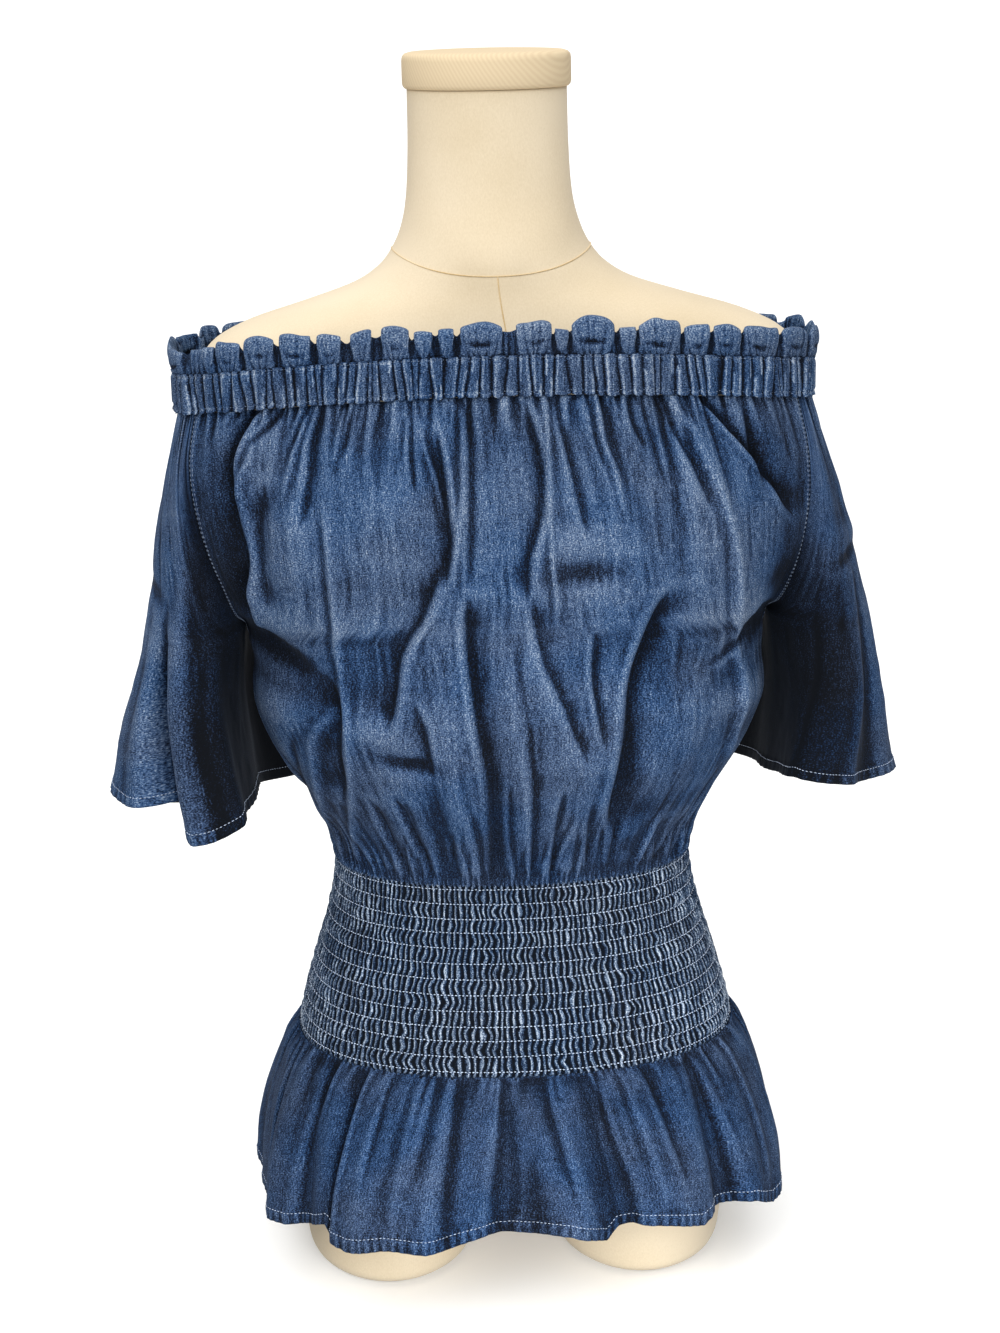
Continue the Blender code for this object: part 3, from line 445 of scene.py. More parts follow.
# A crease runs through (x, z) points and sinks where its rise is below zero.  Its left side
# is so wide and its right side skew times as wide: one is crisp and the other broad.
Crease = namedtuple("Crease", "path rise width skew")
FRONT_CREASES = [
    Crease([(-122, 612), (-131, 588), (-135, 574)], -3.5, 2.2, 2.0),
    Crease([(-134, 612), (-146, 595), (-164, 578)], -3.0, 2.4, 1.6),
    Crease([(-118, 612), (-128, 589), (-134, 571), (-141, 548)], 3.2, 2.6, 0.8),
    Crease([(-110, 612), (-120, 588), (-124, 562), (-130, 530)], -4.2, 2.6, 2.4),
    Crease([(-99, 612), (-105, 588), (-109, 568)], 2.6, 2.2, 0.8),
    Crease([(-93, 612), (-99, 592), (-104, 572)], -3.2, 2.0, 2.0),
    Crease([(-146, 612), (-165, 590), (-175, 566), (-171, 540), (-167, 510), (-169, 480),
            (-165, 452)], -12.0, 7.0, 0.5),
    Crease([(-155, 585), (-166, 560), (-169, 530), (-167, 500), (-158, 470)], 3.5, 3.2, 2.0),
    Crease([(-150, 565), (-156, 540), (-157, 505), (-152, 470)], -5.5, 6.0, 1.4),
    Crease([(146, 600), (151, 582), (156, 562), (160, 540)], -7.0, 3.2, 1.4),
    Crease([(-116, 556), (-113, 520), (-110, 460), (-106, 415), (-106, 340), (-103, 300)],
           2.6, 2.6, 2.5),
    Crease([(-59, 612), (-61, 580), (-59, 550)], -2.8, 2.2, 1.2),
    Crease([(-56, 600), (-53, 583), (-46, 560), (-42, 536)], 2.0, 2.4, 0.8),
    Crease([(-46, 596), (-43, 568), (-41, 542), (-40, 526), (-44, 496)], -7.5, 12.0, 0.2),
    Crease([(-31, 612), (-30, 586), (-32, 548), (-38, 516), (-43, 496)], 3.0, 2.2, 2.2),
    Crease([(-27, 612), (-25, 581), (-26, 547), (-29, 500)], -2.5, 2.2, 2.0),
    Crease([(-29, 500), (-30, 479), (-29, 452), (-25, 413), (-19, 375), (-17, 347), (-17, 262)],
           -7.5, 2.8, 4.0),
    Crease([(-45, 518), (-59, 482), (-73, 457), (-77, 434), (-82, 402)], -6.5, 15.0, 0.22),
    Crease([(-66, 432), (-60, 412), (-54, 372)], -3.4, 9.0, 0.3),
    Crease([(-80, 366), (-69, 334), (-58, 303), (-54, 262)], -4.6, 2.2, 2.6),
    Crease([(-96, 360), (-83, 326), (-73, 298), (-69, 262)], -5.2, 2.2, 2.6),
    Crease([(-106, 322), (-99, 295), (-95, 262)], -3.0, 2.0, 1.8),
    Crease([(-42, 340), (-43, 303), (-43, 262)], -2.6, 2.0, 1.6),
    Crease([(-113, 424), (-127, 400), (-130, 381), (-127, 352), (-119, 312)], 3.0, 4.0, 1.0),
    Crease([(-118, 446), (-112, 418), (-114, 385), (-110, 345)], -5.5, 13.0, 0.25),
    Crease([(-140, 400), (-143, 380), (-137, 345), (-122, 300)], -3.0, 4.0, 1.0),
    Crease([(7, 612), (12, 596), (16, 579), (17, 560), (14, 537), (7, 514), (7, 488)],
           -5.5, 9.0, 0.28),
    Crease([(9, 500), (16, 456), (29, 424), (44, 380)], -3.4, 3.2, 3.6),
    Crease([(21, 612), (22, 578), (21, 550), (22, 510), (25, 476)], 2.2, 1.8, 1.6),
    Crease([(27, 612), (31, 590), (38, 561), (45, 520)], -2.6, 2.6, 2.4),
    Crease([(49, 612), (51, 588), (57, 562)], -2.4, 2.0, 1.8),
    Crease([(54, 612), (56, 584), (63, 562), (67, 536)], 2.0, 2.4, 1.0),
    Crease([(70, 612), (76, 590), (84, 572)], -2.2, 2.2, 1.8),
    Crease([(94, 612), (102, 584), (114, 562), (124, 535)], -2.6, 3.0, 2.0),
    Crease([(108, 600), (119, 566), (130, 540), (137, 510), (141, 445), (143, 400), (134, 350)],
           3.6, 3.6, 2.0),
    Crease([(111, 612), (132, 590), (152, 567), (168, 545), (181, 520)], -7.5, 2.6, 3.4),
    Crease([(48, 474), (47, 442), (50, 418), (53, 392)], -4.0, 2.2, 3.0),
    Crease([(96, 498), (84, 471), (73, 439), (69, 403), (65, 374), (61, 348), (59, 322)],
           -10.0, 4.0, 3.6),
    Crease([(64, 346), (61, 304), (60, 262)], -3.6, 2.0, 2.4),
    Crease([(47, 358), (45, 330), (43, 262)], -4.0, 2.6, 2.4),
    Crease([(-6, 372), (-5, 326), (-1, 297), (0, 262)], -3.0, 2.2, 2.0),
    Crease([(29, 372), (22, 317), (20, 262)], -3.0, 2.2, 2.0),
    Crease([(53, 342), (53, 298), (52, 262)], -2.6, 1.8, 1.6),
    Crease([(96, 335), (79, 296), (73, 262)], -4.6, 2.2, 2.2),
    Crease([(112, 334), (90, 294), (83, 262)], -4.4, 2.2, 2.2),
    Crease([(122, 330), (103, 292), (96, 262)], -3.0, 2.0, 1.8),
    Crease([(152, 462), (140, 446), (122, 436)], -3.6, 5.0, 1.0),
]
BACK_CREASES = [
    Crease([(-160, 612), (-166, 570), (-160, 520), (-150, 480)], -5.0, 4.0, 1.4),
    Crease([(-136, 612), (-140, 560), (-128, 470), (-112, 360)], 3.6, 4.4, 1.0),
    Crease([(-112, 612), (-106, 560), (-98, 480), (-90, 400)], -5.6, 3.6, 1.5),
    Crease([(-84, 612), (-88, 580), (-84, 548)], -3.2, 2.4, 1.2),
    Crease([(-60, 612), (-58, 560), (-52, 500), (-56, 440), (-50, 390)], -4.4, 3.4, 1.4),
    Crease([(-40, 612), (-43, 570), (-38, 520)], 2.8, 2.4, 1.0),
    Crease([(-18, 612), (-15, 560), (-17, 500), (-20, 430), (-16, 380)], -5.2, 3.4, 1.5),
    Crease([(8, 612), (10, 580), (6, 552)], -2.8, 2.2, 1.2),
    Crease([(30, 612), (33, 570), (38, 520), (30, 470)], -4.8, 3.0, 1.4),
    Crease([(52, 612), (54, 560), (48, 500), (40, 430)], 3.0, 4.0, 1.0),
    Crease([(82, 612), (80, 560), (72, 500), (60, 430), (56, 390)], -5.4, 3.8, 1.5),
    Crease([(112, 612), (116, 570), (112, 530)], -3.4, 2.6, 1.2),
    Crease([(146, 612), (150, 560), (144, 500), (132, 430), (128, 370)], 3.8, 4.6, 1.0),
    Crease([(168, 612), (172, 560), (164, 520)], -5.2, 4.0, 1.2),
    Crease([(-126, 400), (-112, 350), (-98, 300), (-92, 262)], -5.0, 3.0, 1.4),
    Crease([(-96, 344), (-84, 306), (-78, 262)], -3.6, 2.4, 1.3),
    Crease([(-66, 410), (-54, 360), (-46, 310), (-44, 262)], -5.6, 3.4, 1.4),
    Crease([(-30, 336), (-27, 300), (-26, 262)], -3.0, 2.2, 1.2),
    Crease([(-6, 372), (-8, 330), (-6, 262)], -3.8, 2.6, 1.3),
    Crease([(24, 404), (20, 350), (14, 306), (13, 262)], -5.2, 3.2, 1.4),
    Crease([(46, 340), (40, 300), (38, 262)], -3.2, 2.4, 1.2),
    Crease([(78, 396), (70, 350), (60, 306), (56, 262)], -5.8, 3.4, 1.4),
    Crease([(100, 350), (86, 306), (80, 262)], -3.8, 2.6, 1.3),
    Crease([(128, 378), (112, 330), (100, 296), (95, 262)], -4.4, 2.8, 1.3),
]
# Soft hollows and swellings: middle, half-sizes, how far they rise, and turn in degrees.
Dent = namedtuple("Dent", "x z half_x half_z rise turn")
FRONT_DENTS = [
    Dent(42, 507, 19, 8, -2.2, 0),
    Dent(38, 528, 24, 12, 2.2, 0),
    Dent(-68, 386, 16, 6, -3.4, -14),
    Dent(-92, 412, 18, 16, 3.0, 0),
    Dent(-80, 540, 22, 40, 2.6, 0),
    Dent(88, 490, 26, 30, 2.4, 10),
    Dent(104, 400, 22, 34, 3.0, 0),
    Dent(36, 392, 20, 26, 3.4, 0),
    Dent(10, 440, 18, 26, 2.0, 0),
    Dent(-154, 450, 22, 8, -9.0, -20),
    Dent(-150, 414, 20, 18, 5.0, 0),
    Dent(-136, 520, 14, 30, 2.6, 0),
    Dent(160, 452, 16, 11, -8.0, 30),
    Dent(172, 478, 12, 20, -5.0, 0),
    Dent(150, 412, 16, 16, 4.0, 0),
    Dent(84, 372, 10, 16, 2.0, 0),
    Dent(-34, 360, 12, 22, 2.4, 0),
]
BACK_DENTS = [
    Dent(-70, 470, 26, 30, 2.8, 0),
    Dent(12, 450, 28, 34, 2.8, 0),
    Dent(100, 470, 24, 30, 2.8, 0),
    Dent(-104, 440, 16, 7, -3.0, 20),
    Dent(64, 414, 18, 7, -3.2, -15),
    Dent(-10, 392, 22, 7, -2.8, 5),
    Dent(146, 446, 14, 6, -4.5, 25),
    Dent(-146, 446, 14, 6, -4.5, -25),
]
# Painted shade in hollows that light hardly reaches, where the blue looks deepest.
FRONT_SHADE_PATCHES = [
    Dent(-172, 505, 9, 58, -0.42, 0), Dent(-184, 520, 12, 62, -0.22, 0),
    Dent(-158, 447, 22, 14, -0.30, -15), Dent(-140, 445, 16, 8, -0.12, -15),
    Dent(155, 565, 8, 24, -0.20, -8), Dent(168, 560, 16, 34, -0.13, 0),
    Dent(160, 446, 20, 9, -0.16, 20), Dent(178, 478, 10, 50, -0.40, 0),
    Dent(-20, 410, 8, 60, -0.12, 6), Dent(-17, 340, 6, 40, -0.20, 0),
    Dent(-56, 520, 14, 34, -0.06, 20), Dent(-44, 540, 4, 30, -0.12, 0),
    Dent(86, 455, 11, 44, -0.13, 14), Dent(70, 385, 7, 40, -0.24, 3),
    Dent(62, 320, 7, 40, -0.12, 0), Dent(-128, 428, 30, 20, -0.12, 10),
    Dent(-122, 390, 9, 34, -0.12, 0), Dent(8, 540, 8, 40, -0.07, 0),
    Dent(44, 507, 20, 7, -0.08, 0), Dent(47, 330, 5, 30, -0.07, 0),
    Dent(-70, 384, 18, 7, -0.08, -14), Dent(-70, 312, 20, 26, -0.06, 0),
    Dent(86, 305, 20, 28, -0.07, 0), Dent(30, 440, 12, 40, -0.05, 16),
]
CREASE_FADE = 24.0           # length over which a crease runs out at each end
# Gathers of several sizes: how far apart they are, how deep, and how far they run on.
Gathers = namedtuple("Gathers", "pitch rise reach")
CASING_GATHERS = [Gathers(6.5, 1.1, 8), Gathers(13, 2.0, 24), Gathers(30, 1.3, 66)]
WAIST_GATHERS = [Gathers(6.0, 1.2, 13), Gathers(9, 2.2, 26), Gathers(17, 2.2, 55)]
UNEVEN_RISE = 1.1            # height of the cloth's own slow unevenness,
WRINKLE_RISE = 0.35          # of its wrinkles, with how much more beside the gathered seams,
SEAM_WRINKLES = 0.5
FINE_WRINKLES = 0.28         # and of the finest ones
PUFF = 1.6                   # how far the cloth swells out just above the shirring
ARMHOLE_SINK = 0.5           # how far the armhole seams pull it in
RIDGE_PITCH = 4.1            # of the shirring, whose ridges run out into the cloth above it
EDGE_RIDGES = 1.6            # how high they still are there
DRIFT_MARKS = 32             # places along a row between which the ridges' spacing changes
FRONT_SEED = 11              # the same ridges run on from the shirring into its neighbours
BACK_SEED = 12

# The cloth's tone goes from 0, deep blue, to 1, almost white: its wear, with painted highlight
# on ridges and painted shade in hollows.  A bump counts by its size in cells of the mesh, with a
# weight, and in full once it is so many millimetres high.
Bump = namedtuple("Bump", "cells weight relief")
SMALL_BUMPS = [Bump(2, 0.8, 0.12), Bump(5, 0.7, 0.45)]
LARGE_BUMPS = [Bump(12, 0.5, 1.8), Bump(26, 0.35, 5.0)]
MIDDLE_TONE = 0.5
RIDGE_WEAR_AND_HIGHLIGHT = 0.085
HOLLOW_SHADE = 0.13
# How much painted shade and highlight the bodice's own folds and the shade of its parts add to
# that.
BODICE_BLUER = 0.04          # all over
CREASE_SHADE = 0.012         # painted shade for each millimetre of a crease's depth
GATHER_SHADE = 0.035         # painted shade for each millimetre of a gather's depth
GATHER_HIGHLIGHT = 0.02          # painted highlight for each millimetre of a gather's height
ARMHOLE_BLUER = 0.16         # where a sleeve shades the bodice
LOW_BLUER = 0.09             # where its own fullness shades it
WAIST_LEAST = 0.18           # the cloth near the waist is never bluer, so its gathers show
INNER_SHADE = 0.04            # of the inner face, a deep tone that is painted shade
INNER_STEP = 4               # the outer face has so many rows of points for one inside
FAR_INSIDE = 40.0            # how deep under the cloth the form is looked for
KEPT_CLEAR = 0.5

SLUB_MM = 0.95               # spacing of the warp's slubs, drawn coarser than the real yarn
SLUB_LENGTH_MM = 4.0
FLECK_MM = 0.85              # white weft specks, also drawn about twice their real size
CLOUD_MM = 42                # slow patches of more and less wear
DYE_MM = 60                  # slow changes in how rich the blue is
DENIM_SHEEN = "#9fb4d6"
DENIM_SHADES = [(0.0, "#05080e"), (0.22, "#131d2f"), (0.40, "#293b58"), (0.56, "#3e5476"),
                (0.74, "#60748f"), (1.0, "#a7b2c0")]


def eased(t):
    """A part from 0 to 1 again, slower at both ends."""
    return t * t * (3 - 2 * t)


def ramp(value, start, end):
    """0 before start and 1 past end, with a soft turn at both."""
    return eased(np.clip((value - start) / (end - start), 0, 1))


def raised(z, y, front, back):
    """How much higher than its own level the blouse sits at a place this far out."""
    centre = np.where(y < 0, np.clip(-y / front, 0, 1), np.clip(y / back, 0, 1)) ** 2
    at_side = SIDE_RAISE * ramp(z, 50, 150) * (1 - ramp(z, 280, 440))
    return np.where(y < 0, FRONT_RAISE, BACK_RAISE) * centre + at_side * (1 - centre)


def spread_evenly(paths, count, margin=0.0):
    """Each path's points again, count of them at even steps along its length."""
    result = []
    for path in paths:
        steps = np.linalg.norm(np.diff(path, axis=0), axis=1)
        length = np.concatenate([[0], np.cumsum(steps)])
        at = np.linspace(margin, length[-1] - margin, count)
        result.append(np.stack([np.interp(at, length, path[:, k])
                                for k in range(path.shape[1])], axis=-1))
    return np.array(result)


def waist_points(angle, z, thickness):
    """Places over the form's waist, at its own section, higher at the front."""
    half_width, front, back, power, _ = along(FORM, z)
    _, y = oval(half_width, front, back, power, angle)
    lifted = z + raised(z, y, front, back)
    half_width, front, back, power, _ = along(FORM, lifted)
    x, y = oval(half_width, front, back, power, angle, FORM_CLEARANCE + thickness)
    return np.stack([x, y, lifted], axis=-1)


def blurred(field, down, across, closed=False):
    """A grid's field averaged over a window of so many rows and columns each way."""
    for axis, size in ((0, down), (1, across)):
        pad = [(0, 0)] * field.ndim
        pad[axis] = (size, size)
        if closed and axis == 1:
            padded = np.pad(field, pad, mode="wrap")
        else:
            padded = np.pad(field, pad, mode="reflect", reflect_type="odd")
        total = np.cumsum(padded, axis=axis)
        zero = np.zeros_like(np.take(total, [0], axis=axis))
        total = np.concatenate([zero, total], axis=axis)
        length = field.shape[axis]
        window = 2 * size + 1
        upper = np.take(total, np.arange(window, window + length), axis=axis)
        lower = np.take(total, np.arange(length), axis=axis)
        field = (upper - lower) / window
    return field


def out_directions(points, closed=False):
    """Unit directions out of a grid whose rows run down and columns counter-clockwise."""
    down_step = np.gradient(points, axis=0)
    if closed:
        across_step = np.roll(points, -1, axis=1) - np.roll(points, 1, axis=1)
    else:
        across_step = np.gradient(points, axis=1)
    out = np.cross(down_step, across_step)
    return out / np.maximum(np.linalg.norm(out, axis=-1, keepdims=True), 1e-9)


def slow_noise(shape, rows_step, columns_step, draw):
    """Smooth random values from -1 to 1 on a grid, with bumps about so many cells across."""
    coarse_rows = max(4, int(shape[0] / rows_step) + 3)
    coarse_columns = max(4, int(shape[1] / columns_step) + 3)
    values = draw.uniform(-1, 1, (coarse_rows, coarse_columns))
    at_rows = np.linspace(1, coarse_rows - 2.001, shape[0])
    at_columns = np.linspace(1, coarse_columns - 2.001, shape[1])

    def read(table, at):
        i = at.astype(int)
        t = eased(at - i)[:, None]
        return table[i] * (1 - t) + table[i + 1] * t

    return read(read(values, at_rows).T, at_columns).T


def crease_shape(off, left, skew, broader, lip_depth):
    """Across a crease: 1 at its line, with a low lip beyond its crisp side."""
    right = left * skew
    crisp = np.minimum(left, right)
    side = np.where(off < 0, left, right)
    side = np.where(side > crisp, side * broader, side)
    lip = np.exp(-((off * (1 if skew > 1 else -1) + 2 * crisp) / (1.1 * crisp)) ** 2)
    return np.exp(-(np.abs(off) / side) ** 1.45) - lip_depth * lip


def creased(across, height, creases, calm, broader=1.0):
    """How far the creases and folds lift the cloth, with their broad sides so much broader."""
    lift = np.zeros_like(across)
    for crease in creases:
        path = sorted((z, x) for x, z in crease.path)
        low, high = path[0][0], path[-1][0]
        line = along(path, height)[0]
        slant = (path[-1][1] - path[0][1]) / (high - low)
        off = (across - line) / np.hypot(1, slant)
        fade = min(CREASE_FADE, 0.45 * (high - low))
        inside = ramp(height, low, low + fade) * (1 - ramp(height, high - fade, high))
        left = crease.width * (0.6 + 0.3 * calm)
        lift += crease.rise * inside * crease_shape(off, left, crease.skew, broader, 0.16)
    return lift


def dented(across, height, dents):
    """How far the soft hollows and swellings lift the cloth at each place."""
    lift = np.zeros_like(across)
    for dent in dents:
        c, s = np.cos(np.radians(dent.turn)), np.sin(np.radians(dent.turn))
        off_x = across - dent.x
        off_z = height - dent.z
        u = (off_x * c + off_z * s) / dent.half_x
        v = (off_z * c - off_x * s) / dent.half_z
        lift += dent.rise * np.exp(-(u * u + v * v))
    return lift


def gathered_lift(across, away, sizes, draw, lean=0.0):
    """Small folds that run out of a seam, crisp on one side: how far they lift the cloth."""
    lift = np.zeros_like(across)
    low, high = across.min(), across.max()
    for pitch, rise, reach in sizes:
        centre = low + pitch * draw.uniform(0.3, 1.0)
        while centre < high:
            length = reach * np.exp(draw.normal(-0.1, 0.5))
            width = pitch * draw.uniform(0.11, 0.22)
            drift = lean * (2 * (centre - low) / (high - low) - 1) + draw.normal(0, 0.08)
            bend = draw.normal(0, 0.0012)
            height = rise * np.exp(draw.normal(-0.2, 0.55))
            widened = width * (1 + 0.9 * away / length)
            face = draw.choice((-1, 1))
            off = face * (across - centre - drift * away - bend * away * away) / widened
            fold = np.exp(-np.abs(off / np.where(off > 0, 0.7, 1.9)) ** 1.4)
            fold -= 0.4 * np.exp(-((off - 1.6) / 0.8) ** 2)
            lift -= height * np.exp(-(away / length) ** 1.6) * fold
            centre += pitch * draw.uniform(0.6, 1.4)
    return lift


def crumpled(shape, across_cells, down_cells, draw):
    """Sharp wandering ridges with soft hollows between them, about -0.5 to 0.5."""
    wave = slow_noise(shape, down_cells, across_cells, draw)
    wave += 0.45 * slow_noise(shape, down_cells * 0.45, across_cells * 0.5, draw)
    return 0.5 - 1.6 * np.abs(wave)


def room_inside(points, out, cover):
    """How far each place may sink before it meets the form under the cloth."""
    room = np.full(points.shape[:2], FAR_INSIDE)
    tree = BVHTree.FromObject(cover, bpy.context.evaluated_depsgraph_get())
    placed = (points + ORIGIN) * MM
    for row in range(0, points.shape[0], 2):
        for column in range(0, points.shape[1], 2):
            place, inward = Vector(placed[row, column]), Vector(-out[row, column])
            distance = tree.ray_cast(place, inward, FAR_INSIDE * MM)[3]
            if distance is not None:
                room[row:row + 2, column:column + 2] = distance / MM
    return room


def held_off(lift, base, out, wall):
    """The lift again, with its hollows kept from sinking into the form under the cloth."""
    room = np.maximum(room_inside(base, out, dress_form) - wall - KEPT_CLEAR, 0.05)
    return np.where(lift < 0, -room * np.tanh(-lift / room), lift)


def worn_and_shaded(points, out, closed=False, small=1.0, large=1.0):
    """The cloth's tone from its own form: worn pale and with painted highlight on ridges, painted
    shade in hollows.
    """
    rise = np.zeros(points.shape[:2])
    for share, bumps in ((small, SMALL_BUMPS), (large, LARGE_BUMPS)):
        for cells, weight, relief in bumps:
            mean = blurred(points, min(cells, points.shape[0] - 1), cells, closed)
            height = ((points - mean) * out).sum(axis=-1)
            rise += weight * share * np.tanh(height / relief)
    return MIDDLE_TONE + np.where(rise > 0, RIDGE_WEAR_AND_HIGHLIGHT, HOLLOW_SHADE) * rise


def seam_strip(fine, coarse, forward):
    """Triangles that join an outer face's edge to the coarser edge of the inner face."""
    faces = []
    half = INNER_STEP // 2
    for k in range(len(fine) - 1):
        far = coarse[(k + half) // INNER_STEP]
        faces.append((fine[k], fine[k + 1], far) if forward else (fine[k + 1], fine[k], far))
    for k in range(len(coarse) - 1):
        mid = fine[k * INNER_STEP + (INNER_STEP - half)]
        near, far = coarse[k], coarse[k + 1]
        faces.append((far, near, mid) if forward else (near, far, mid))
    return faces


def cloth_piece(name, points, uv, fade, wall, material, closed=False, open_rows=None):
    """A thin shell of cloth: a fine outer face, a coarser inner one and edges between.

    A sleeve's two edges are open down its first open_rows rows and meet below them.
    """
    step = INNER_STEP
    rows, columns = points.shape[:2]
    out = out_directions(points, closed)
    if closed:
        points, uv, fade, out = (np.concatenate([v, v[:, :1]], axis=1)
                                 for v in (points, uv, fade, out))
        uv[:, -1, 0] = 2 * uv[:, -2, 0] - uv[:, -3, 0]
        columns += 1
    smooth = blurred(points, 3, 3)
    sunk = np.maximum(0, -((points - smooth) * out).sum(axis=-1))
    deepest = sunk.copy()
    for shift in range(-step, step + 1):
        for axis in (0, 1):
            deepest = np.maximum(deepest, np.roll(sunk, shift, axis=axis))
    inner = (smooth - out * (wall + deepest)[..., None])[::step, ::step]
    inner[:, 0] = (points - out * wall)[::step, 0]
    inner[:, -1] = (points - out * wall)[::step, -1]
    outer_number = np.arange(rows * columns).reshape(rows, columns)
    inner_number = (rows * columns
                    + np.arange(inner.shape[0] * inner.shape[1]).reshape(inner.shape[:2]))
    faces = list(grid_faces(outer_number)) + list(grid_faces(inner_number, outward=False))
    faces += seam_strip(outer_number[0], inner_number[0], True)
    faces += seam_strip(outer_number[-1], inner_number[-1], False)
    if not closed:
        last = rows if open_rows is None else open_rows
        inner_last = (last - 1) // step + 1
        for column, forward in ((0, False), (-1, True)):
            faces += seam_strip(outer_number[:last, column], inner_number[:inner_last, column],
                                forward)
    all_points = np.vstack([points.reshape(-1, 3), inner.reshape(-1, 3)])
    all_uv = np.vstack([uv.reshape(-1, 2), uv[::step, ::step].reshape(-1, 2)])
    # The inner face keeps a deep tone, painted shade for where it lies in shadow.
    inside = np.full(inner.shape[0] * inner.shape[1], INNER_SHADE)
    return add_mesh(name, all_points, faces, material, all_uv,
                    np.concatenate([fade.ravel(), inside]))


def denim(name, shades, sheen, relief_mm):
    """Washed lightweight denim: matt, slubbed down its warp, pale where it is rubbed and with
    painted light and shade.
    """
    material, tree, shader = new_material(name)
    where = add_node(tree, "ShaderNodeUVMap", uv_map="cloth").outputs["UV"]
    slub_place = add_node(tree, "ShaderNodeMapping", {
        "Vector": where, "Scale": (1 / (SLUB_MM * MM), 1 / (SLUB_LENGTH_MM * MM), 1.0)})
    slub = add_node(tree, "ShaderNodeTexNoise", {
        "Vector": slub_place.outputs["Vector"], "Scale": 1.0, "Detail": 2.0},
        noise_dimensions="2D")
    fleck = add_node(tree, "ShaderNodeTexNoise", {
        "Vector": where, "Scale": 1 / (FLECK_MM * MM), "Detail": 2.0, "Roughness": 0.7},
        noise_dimensions="2D")
    cloud = add_node(tree, "ShaderNodeTexNoise", {
        "Vector": where, "Scale": 1 / (CLOUD_MM * MM), "Detail": 4.0, "Roughness": 0.6},
        noise_dimensions="2D")
    dye_place = add_node(tree, "ShaderNodeMapping", {"Vector": where, "Location": (3.1, 1.7, 0)})
    dye = add_node(tree, "ShaderNodeTexNoise", {
        "Vector": dye_place.outputs["Vector"], "Scale": 1 / (DYE_MM * MM), "Detail": 3.0},
        noise_dimensions="2D")
    # The fade attribute: wear, with painted highlight and painted shade.
    tone = add_node(tree, "ShaderNodeAttribute", attribute_name="fade").outputs["Fac"]
    for source, weight in ((slub, 0.52), (fleck, 1.4), (cloud, 0.26)):
        centred = add_node(tree, "ShaderNodeMath", {0: source.outputs["Fac"], 1: 0.5},
                           operation="SUBTRACT")
        tone = add_node(tree, "ShaderNodeMath", {
            0: centred.outputs["Value"], 1: weight, 2: tone},
            operation="MULTIPLY_ADD").outputs["Value"]
    colour = add_node(tree, "ShaderNodeValToRGB", {"Fac": tone}, stops=shades)
    richness = add_node(tree, "ShaderNodeMapRange", {
        "Value": dye.outputs["Fac"], "From Min": 0.36, "From Max": 0.64,
        "To Min": 0.95, "To Max": 1.11})
    dyed = add_node(tree, "ShaderNodeHueSaturation", {
        "Saturation": richness.outputs["Result"], "Color": colour.outputs["Color"]})
    weave = add_node(tree, "ShaderNodeMath", {0: slub.outputs["Fac"], 1: fleck.outputs["Fac"]},
                     operation="ADD")
    relief = add_node(tree, "ShaderNodeBump", {
        "Strength": 0.5, "Distance": relief_mm * MM, "Height": weave.outputs["Value"]})
    set_inputs(tree, shader, {
        "Base Color": dyed.outputs["Color"], "Normal": relief.outputs["Normal"],
        "Roughness": 0.92, "Specular IOR Level": 0.1, "Sheen Weight": sheen,
        "Sheen Roughness": 0.45, "Sheen Tint": tint(DENIM_SHEEN)})
    return material


def bodice_base(front, rows, columns):
    """The plain panel, from the casing to the shirring, in even columns."""
    face = -1 if front else 1
    z = np.linspace(BODY[0][0], WAIST_TOP + SEAM_GAP, rows)
    seam_x, seam_y, front_depth, back_depth, bow, sideways = along(BODY, z)[..., None]
    depth = front_depth if front else back_depth
    bow = np.radians(bow)
    turn = bow * np.linspace(-1, 1, EDGE_SAMPLES)
    across = (np.abs(np.sin(turn)) / np.sin(bow)) ** (2 / BODY_POWER)
    forward = np.clip((np.cos(turn) - np.cos(bow)) / (1 - np.cos(bow)), 0, 1)
    x = sideways - face * seam_x * across * np.sign(turn)
    y = face * (seam_y + (depth - seam_y) * forward ** (2 / BODY_POWER))
    height = z[:, None] + raised(z[:, None], y, front_depth, back_depth)
    points = spread_evenly(np.stack([x, y, height], axis=-1), columns, SEAM_GAP / 2)
    angle = (np.pi if front else 0.0) + np.linspace(0, np.pi, EDGE_SAMPLES)
    edge = spread_evenly([waist_points(angle, np.full(EDGE_SAMPLES, z[-1]), SEAT)], columns,
                         SEAM_GAP / 2)
    seated = (1 - ramp(z, z[-1], z[-1] + SEATED))[:, None, None]
    return points * (1 - seated) + edge * seated


def cloth_uv(points):
    """Cloth coordinates in millimetres: across at even steps, and down the middle column."""
    rows, columns = points.shape[:2]
    steps = np.linalg.norm(np.diff(points, axis=1), axis=2).mean(axis=0)
    across = np.concatenate([[0], np.cumsum(steps)])
    steps = np.linalg.norm(np.diff(points, axis=0), axis=2).mean(axis=1)
    down = np.concatenate([[0], np.cumsum(steps)])
    return np.stack([np.broadcast_to(across, (rows, columns)),
                     np.broadcast_to(-down[:, None], (rows, columns))], axis=-1)


def off_edges(across):
    """How far each place is from the nearer of its panel's two side edges."""
    return np.minimum(across, across.max() - across)


def row_drift(seed, part):
    """Where the shirring's ridges lie along a row, in ridge widths either way of even."""
    draw = np.random.default_rng(seed)
    marks = np.linspace(0, 1, DRIFT_MARKS)
    return np.interp(part, marks, draw.uniform(-0.3, 0.3, len(marks)))


def edge_ridges(across, seed):
    """How far the shirring's ridges lift the cloth where it leaves the shirring."""
    turn = 2 * np.pi * (across / RIDGE_PITCH + row_drift(seed, across / across.max()))
    return EDGE_RIDGES * ((0.5 + 0.5 * np.cos(turn)) ** 1.4 - 0.2)


